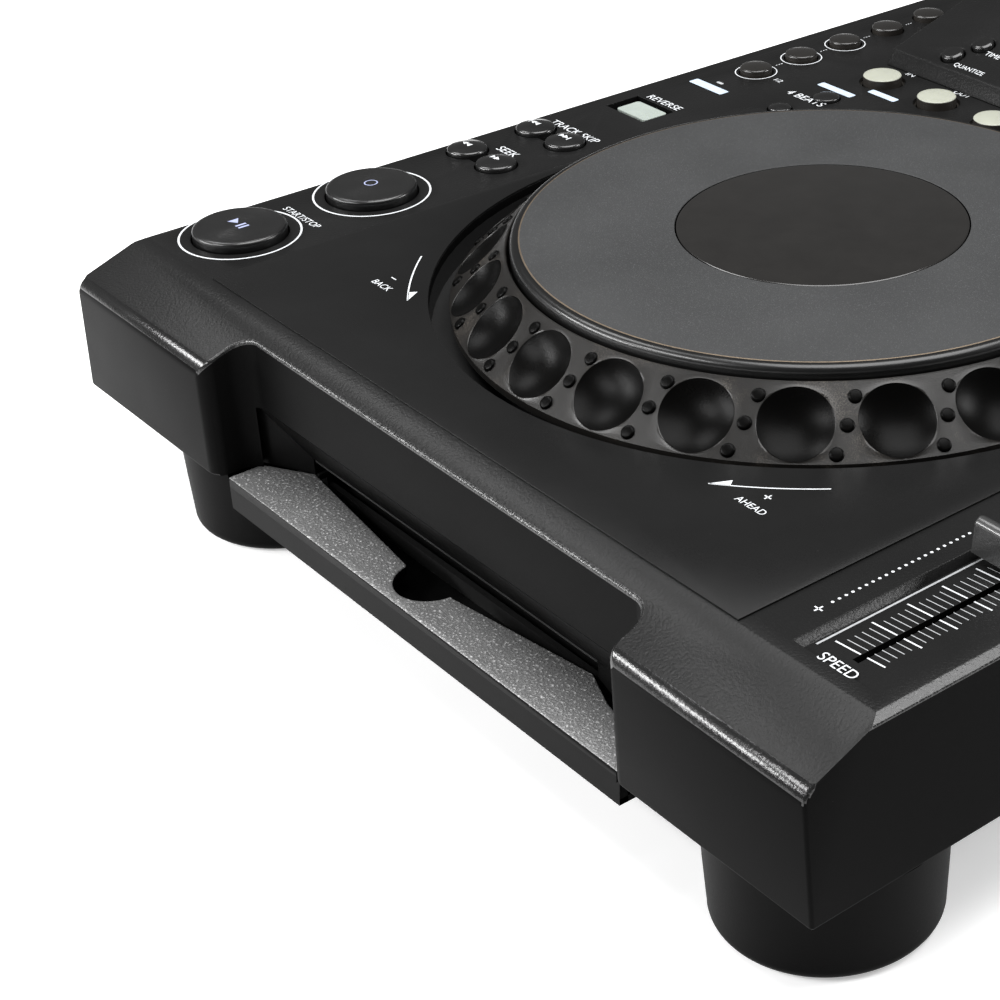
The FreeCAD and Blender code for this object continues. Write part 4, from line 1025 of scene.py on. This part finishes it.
def build_slot():
    """Slot block: a soffit and two flared cheeks down to the mouth, with a bar and felt above it."""
    bm = bmesh.new()
    x0, x1 = SLOT_X
    back_y = -163.2
    floor_z = SKIRT - 0.1
    loops = []
    for left, right, y, top in ((*RECESS_X, RECESS_Y, 44.1), (x0, x1, SLOT_Y, SLOT_TOP),
                                (x0, x1, SLOT_Y + 1.2, SLOT_TOP), (x0, x1, back_y, SLOT_TOP)):
        corners = ((left, y, floor_z), (left, y, top), (right, y, top), (right, y, floor_z))
        loops.append([bm.verts.new(corner) for corner in corners])
    for near, far in zip(loops, loops[1:]):
        for i in range(3):
            bm.faces.new((near[i], near[i + 1], far[i + 1], far[i]))
    bm.faces.new(loops[-1])
    block(bm, x0 + 0.5, x1 - 0.5, SLOT_Y + 0.25, SLOT_Y + 1.1, SLOT_TOP - 0.9, SLOT_TOP, 1)
    piece("slot_block", bm, [SMOOTH_BLACK, INNER], "slot_frame")
    bm = bmesh.new()
    block(bm, -17.0, 16.0, SLOT_Y + 1.3, SLOT_Y + 4.7, SLOT_TOP - 0.2, SLOT_TOP + 4.7)
    piece("felt_strip", bm, [FELT], "slot_felt")


def build_floor():
    """White ground that the camera sees as plain white, with a soft shadow."""
    s = Shader("ground")
    paths = ("Is Camera Ray", "Is Glossy Ray", "Is Transmission Ray")
    seen = [s.node("LightPath", {}, {}, path) for path in paths]
    speckle = s.noise(30.0, 2.0)
    s.set(Base_Color=s.mix(speckle, (0.86, 0.86, 0.86), (0.9, 0.9, 0.9)), Roughness=0.7 + speckle * 0.1,
          Normal=s.bump(speckle, 0.01), Emission_Strength=0.4,
          Emission_Color=s.mix(seen[0] + seen[1] + seen[2], (0.0, 0.0, 0.0), (1.0, 1.0, 1.0)))
    bm = bmesh.new()
    block(bm, -3000, 3000, -3000, 3000, -4.0, 0.0)
    mesh = bpy.data.meshes.new("ground")
    bmesh.ops.scale(bm, vec=(MM, MM, MM), verts=bm.verts)
    bmesh.ops.recalc_face_normals(bm, faces=bm.faces)
    bm.to_mesh(mesh)
    bm.free()
    mesh.materials.append(s.material)
    ground = bpy.data.objects.new("ground", mesh)
    bpy.context.scene.collection.objects.link(ground)


def lamp(name, place, target, size, power):
    """Soft rectangular lamp aimed at a point, millimetres."""
    light = bpy.data.lights.new(name, "AREA")
    light.shape = "RECTANGLE"
    light.size, light.size_y = size[0] * MM, size[1] * MM
    light.energy = power
    made = bpy.data.objects.new(name, light)
    bpy.context.scene.collection.objects.link(made)
    where = Vector(place) * MM
    aim = Vector(target) * MM - where
    made.matrix_world = Matrix.Translation(where) @ aim.to_track_quat("-Z", "Y").to_matrix().to_4x4()


def build_lights():
    world = bpy.data.worlds.new("studio")
    world.use_nodes = True
    world.node_tree.nodes["Background"].inputs["Color"].default_value = (1, 1, 1, 1)
    world.node_tree.nodes["Background"].inputs["Strength"].default_value = 0.12
    bpy.context.scene.world = world
    lamp("overhead", (100, 100, 1100), (0, -50, 60), (900, 900), 16)
    lamp("front", (-200, -1100, 900), (0, -190, 40), (600, 200), 8)
    lamp("left", (-680, -260, 980), (0, -150, 60), (380, 380), 4)
    lamp("nose", (-620, -940, 460), (60, -190, 50), (700, 120), 9)
    lamp("edge", (750, 950, 640), (150, 0, 60), (500, 260), 9)


def build_camera():
    lens = bpy.data.cameras.new("camera")
    lens.sensor_width = 36.0
    lens.lens = 84.54
    lens.shift_x = -0.37585
    lens.shift_y = -0.13367
    lens.clip_start = 0.01
    camera = bpy.data.objects.new("camera", lens)
    camera.location = (0.4201, -0.4208, 0.3361)
    camera.rotation_euler = (math.radians(62.195), 0.0, math.radians(47.509))
    bpy.context.scene.collection.objects.link(camera)
    bpy.context.scene.camera = camera


finish_nodes()
build_cover()
build_plain("jog_surround", "dial_sheet", SHEET_BLACK, 0.12)
build_slot()
build_lip()
build_feet()
build_ring()
build_platter()
build_window()
build_buttons()
build_direction_key()
build_well_rims()
build_prints()
build_scale()
build_fader()
build_housing()
build_floor()
build_lights()
build_camera()
bpy.context.scene.view_settings.view_transform = "Standard"
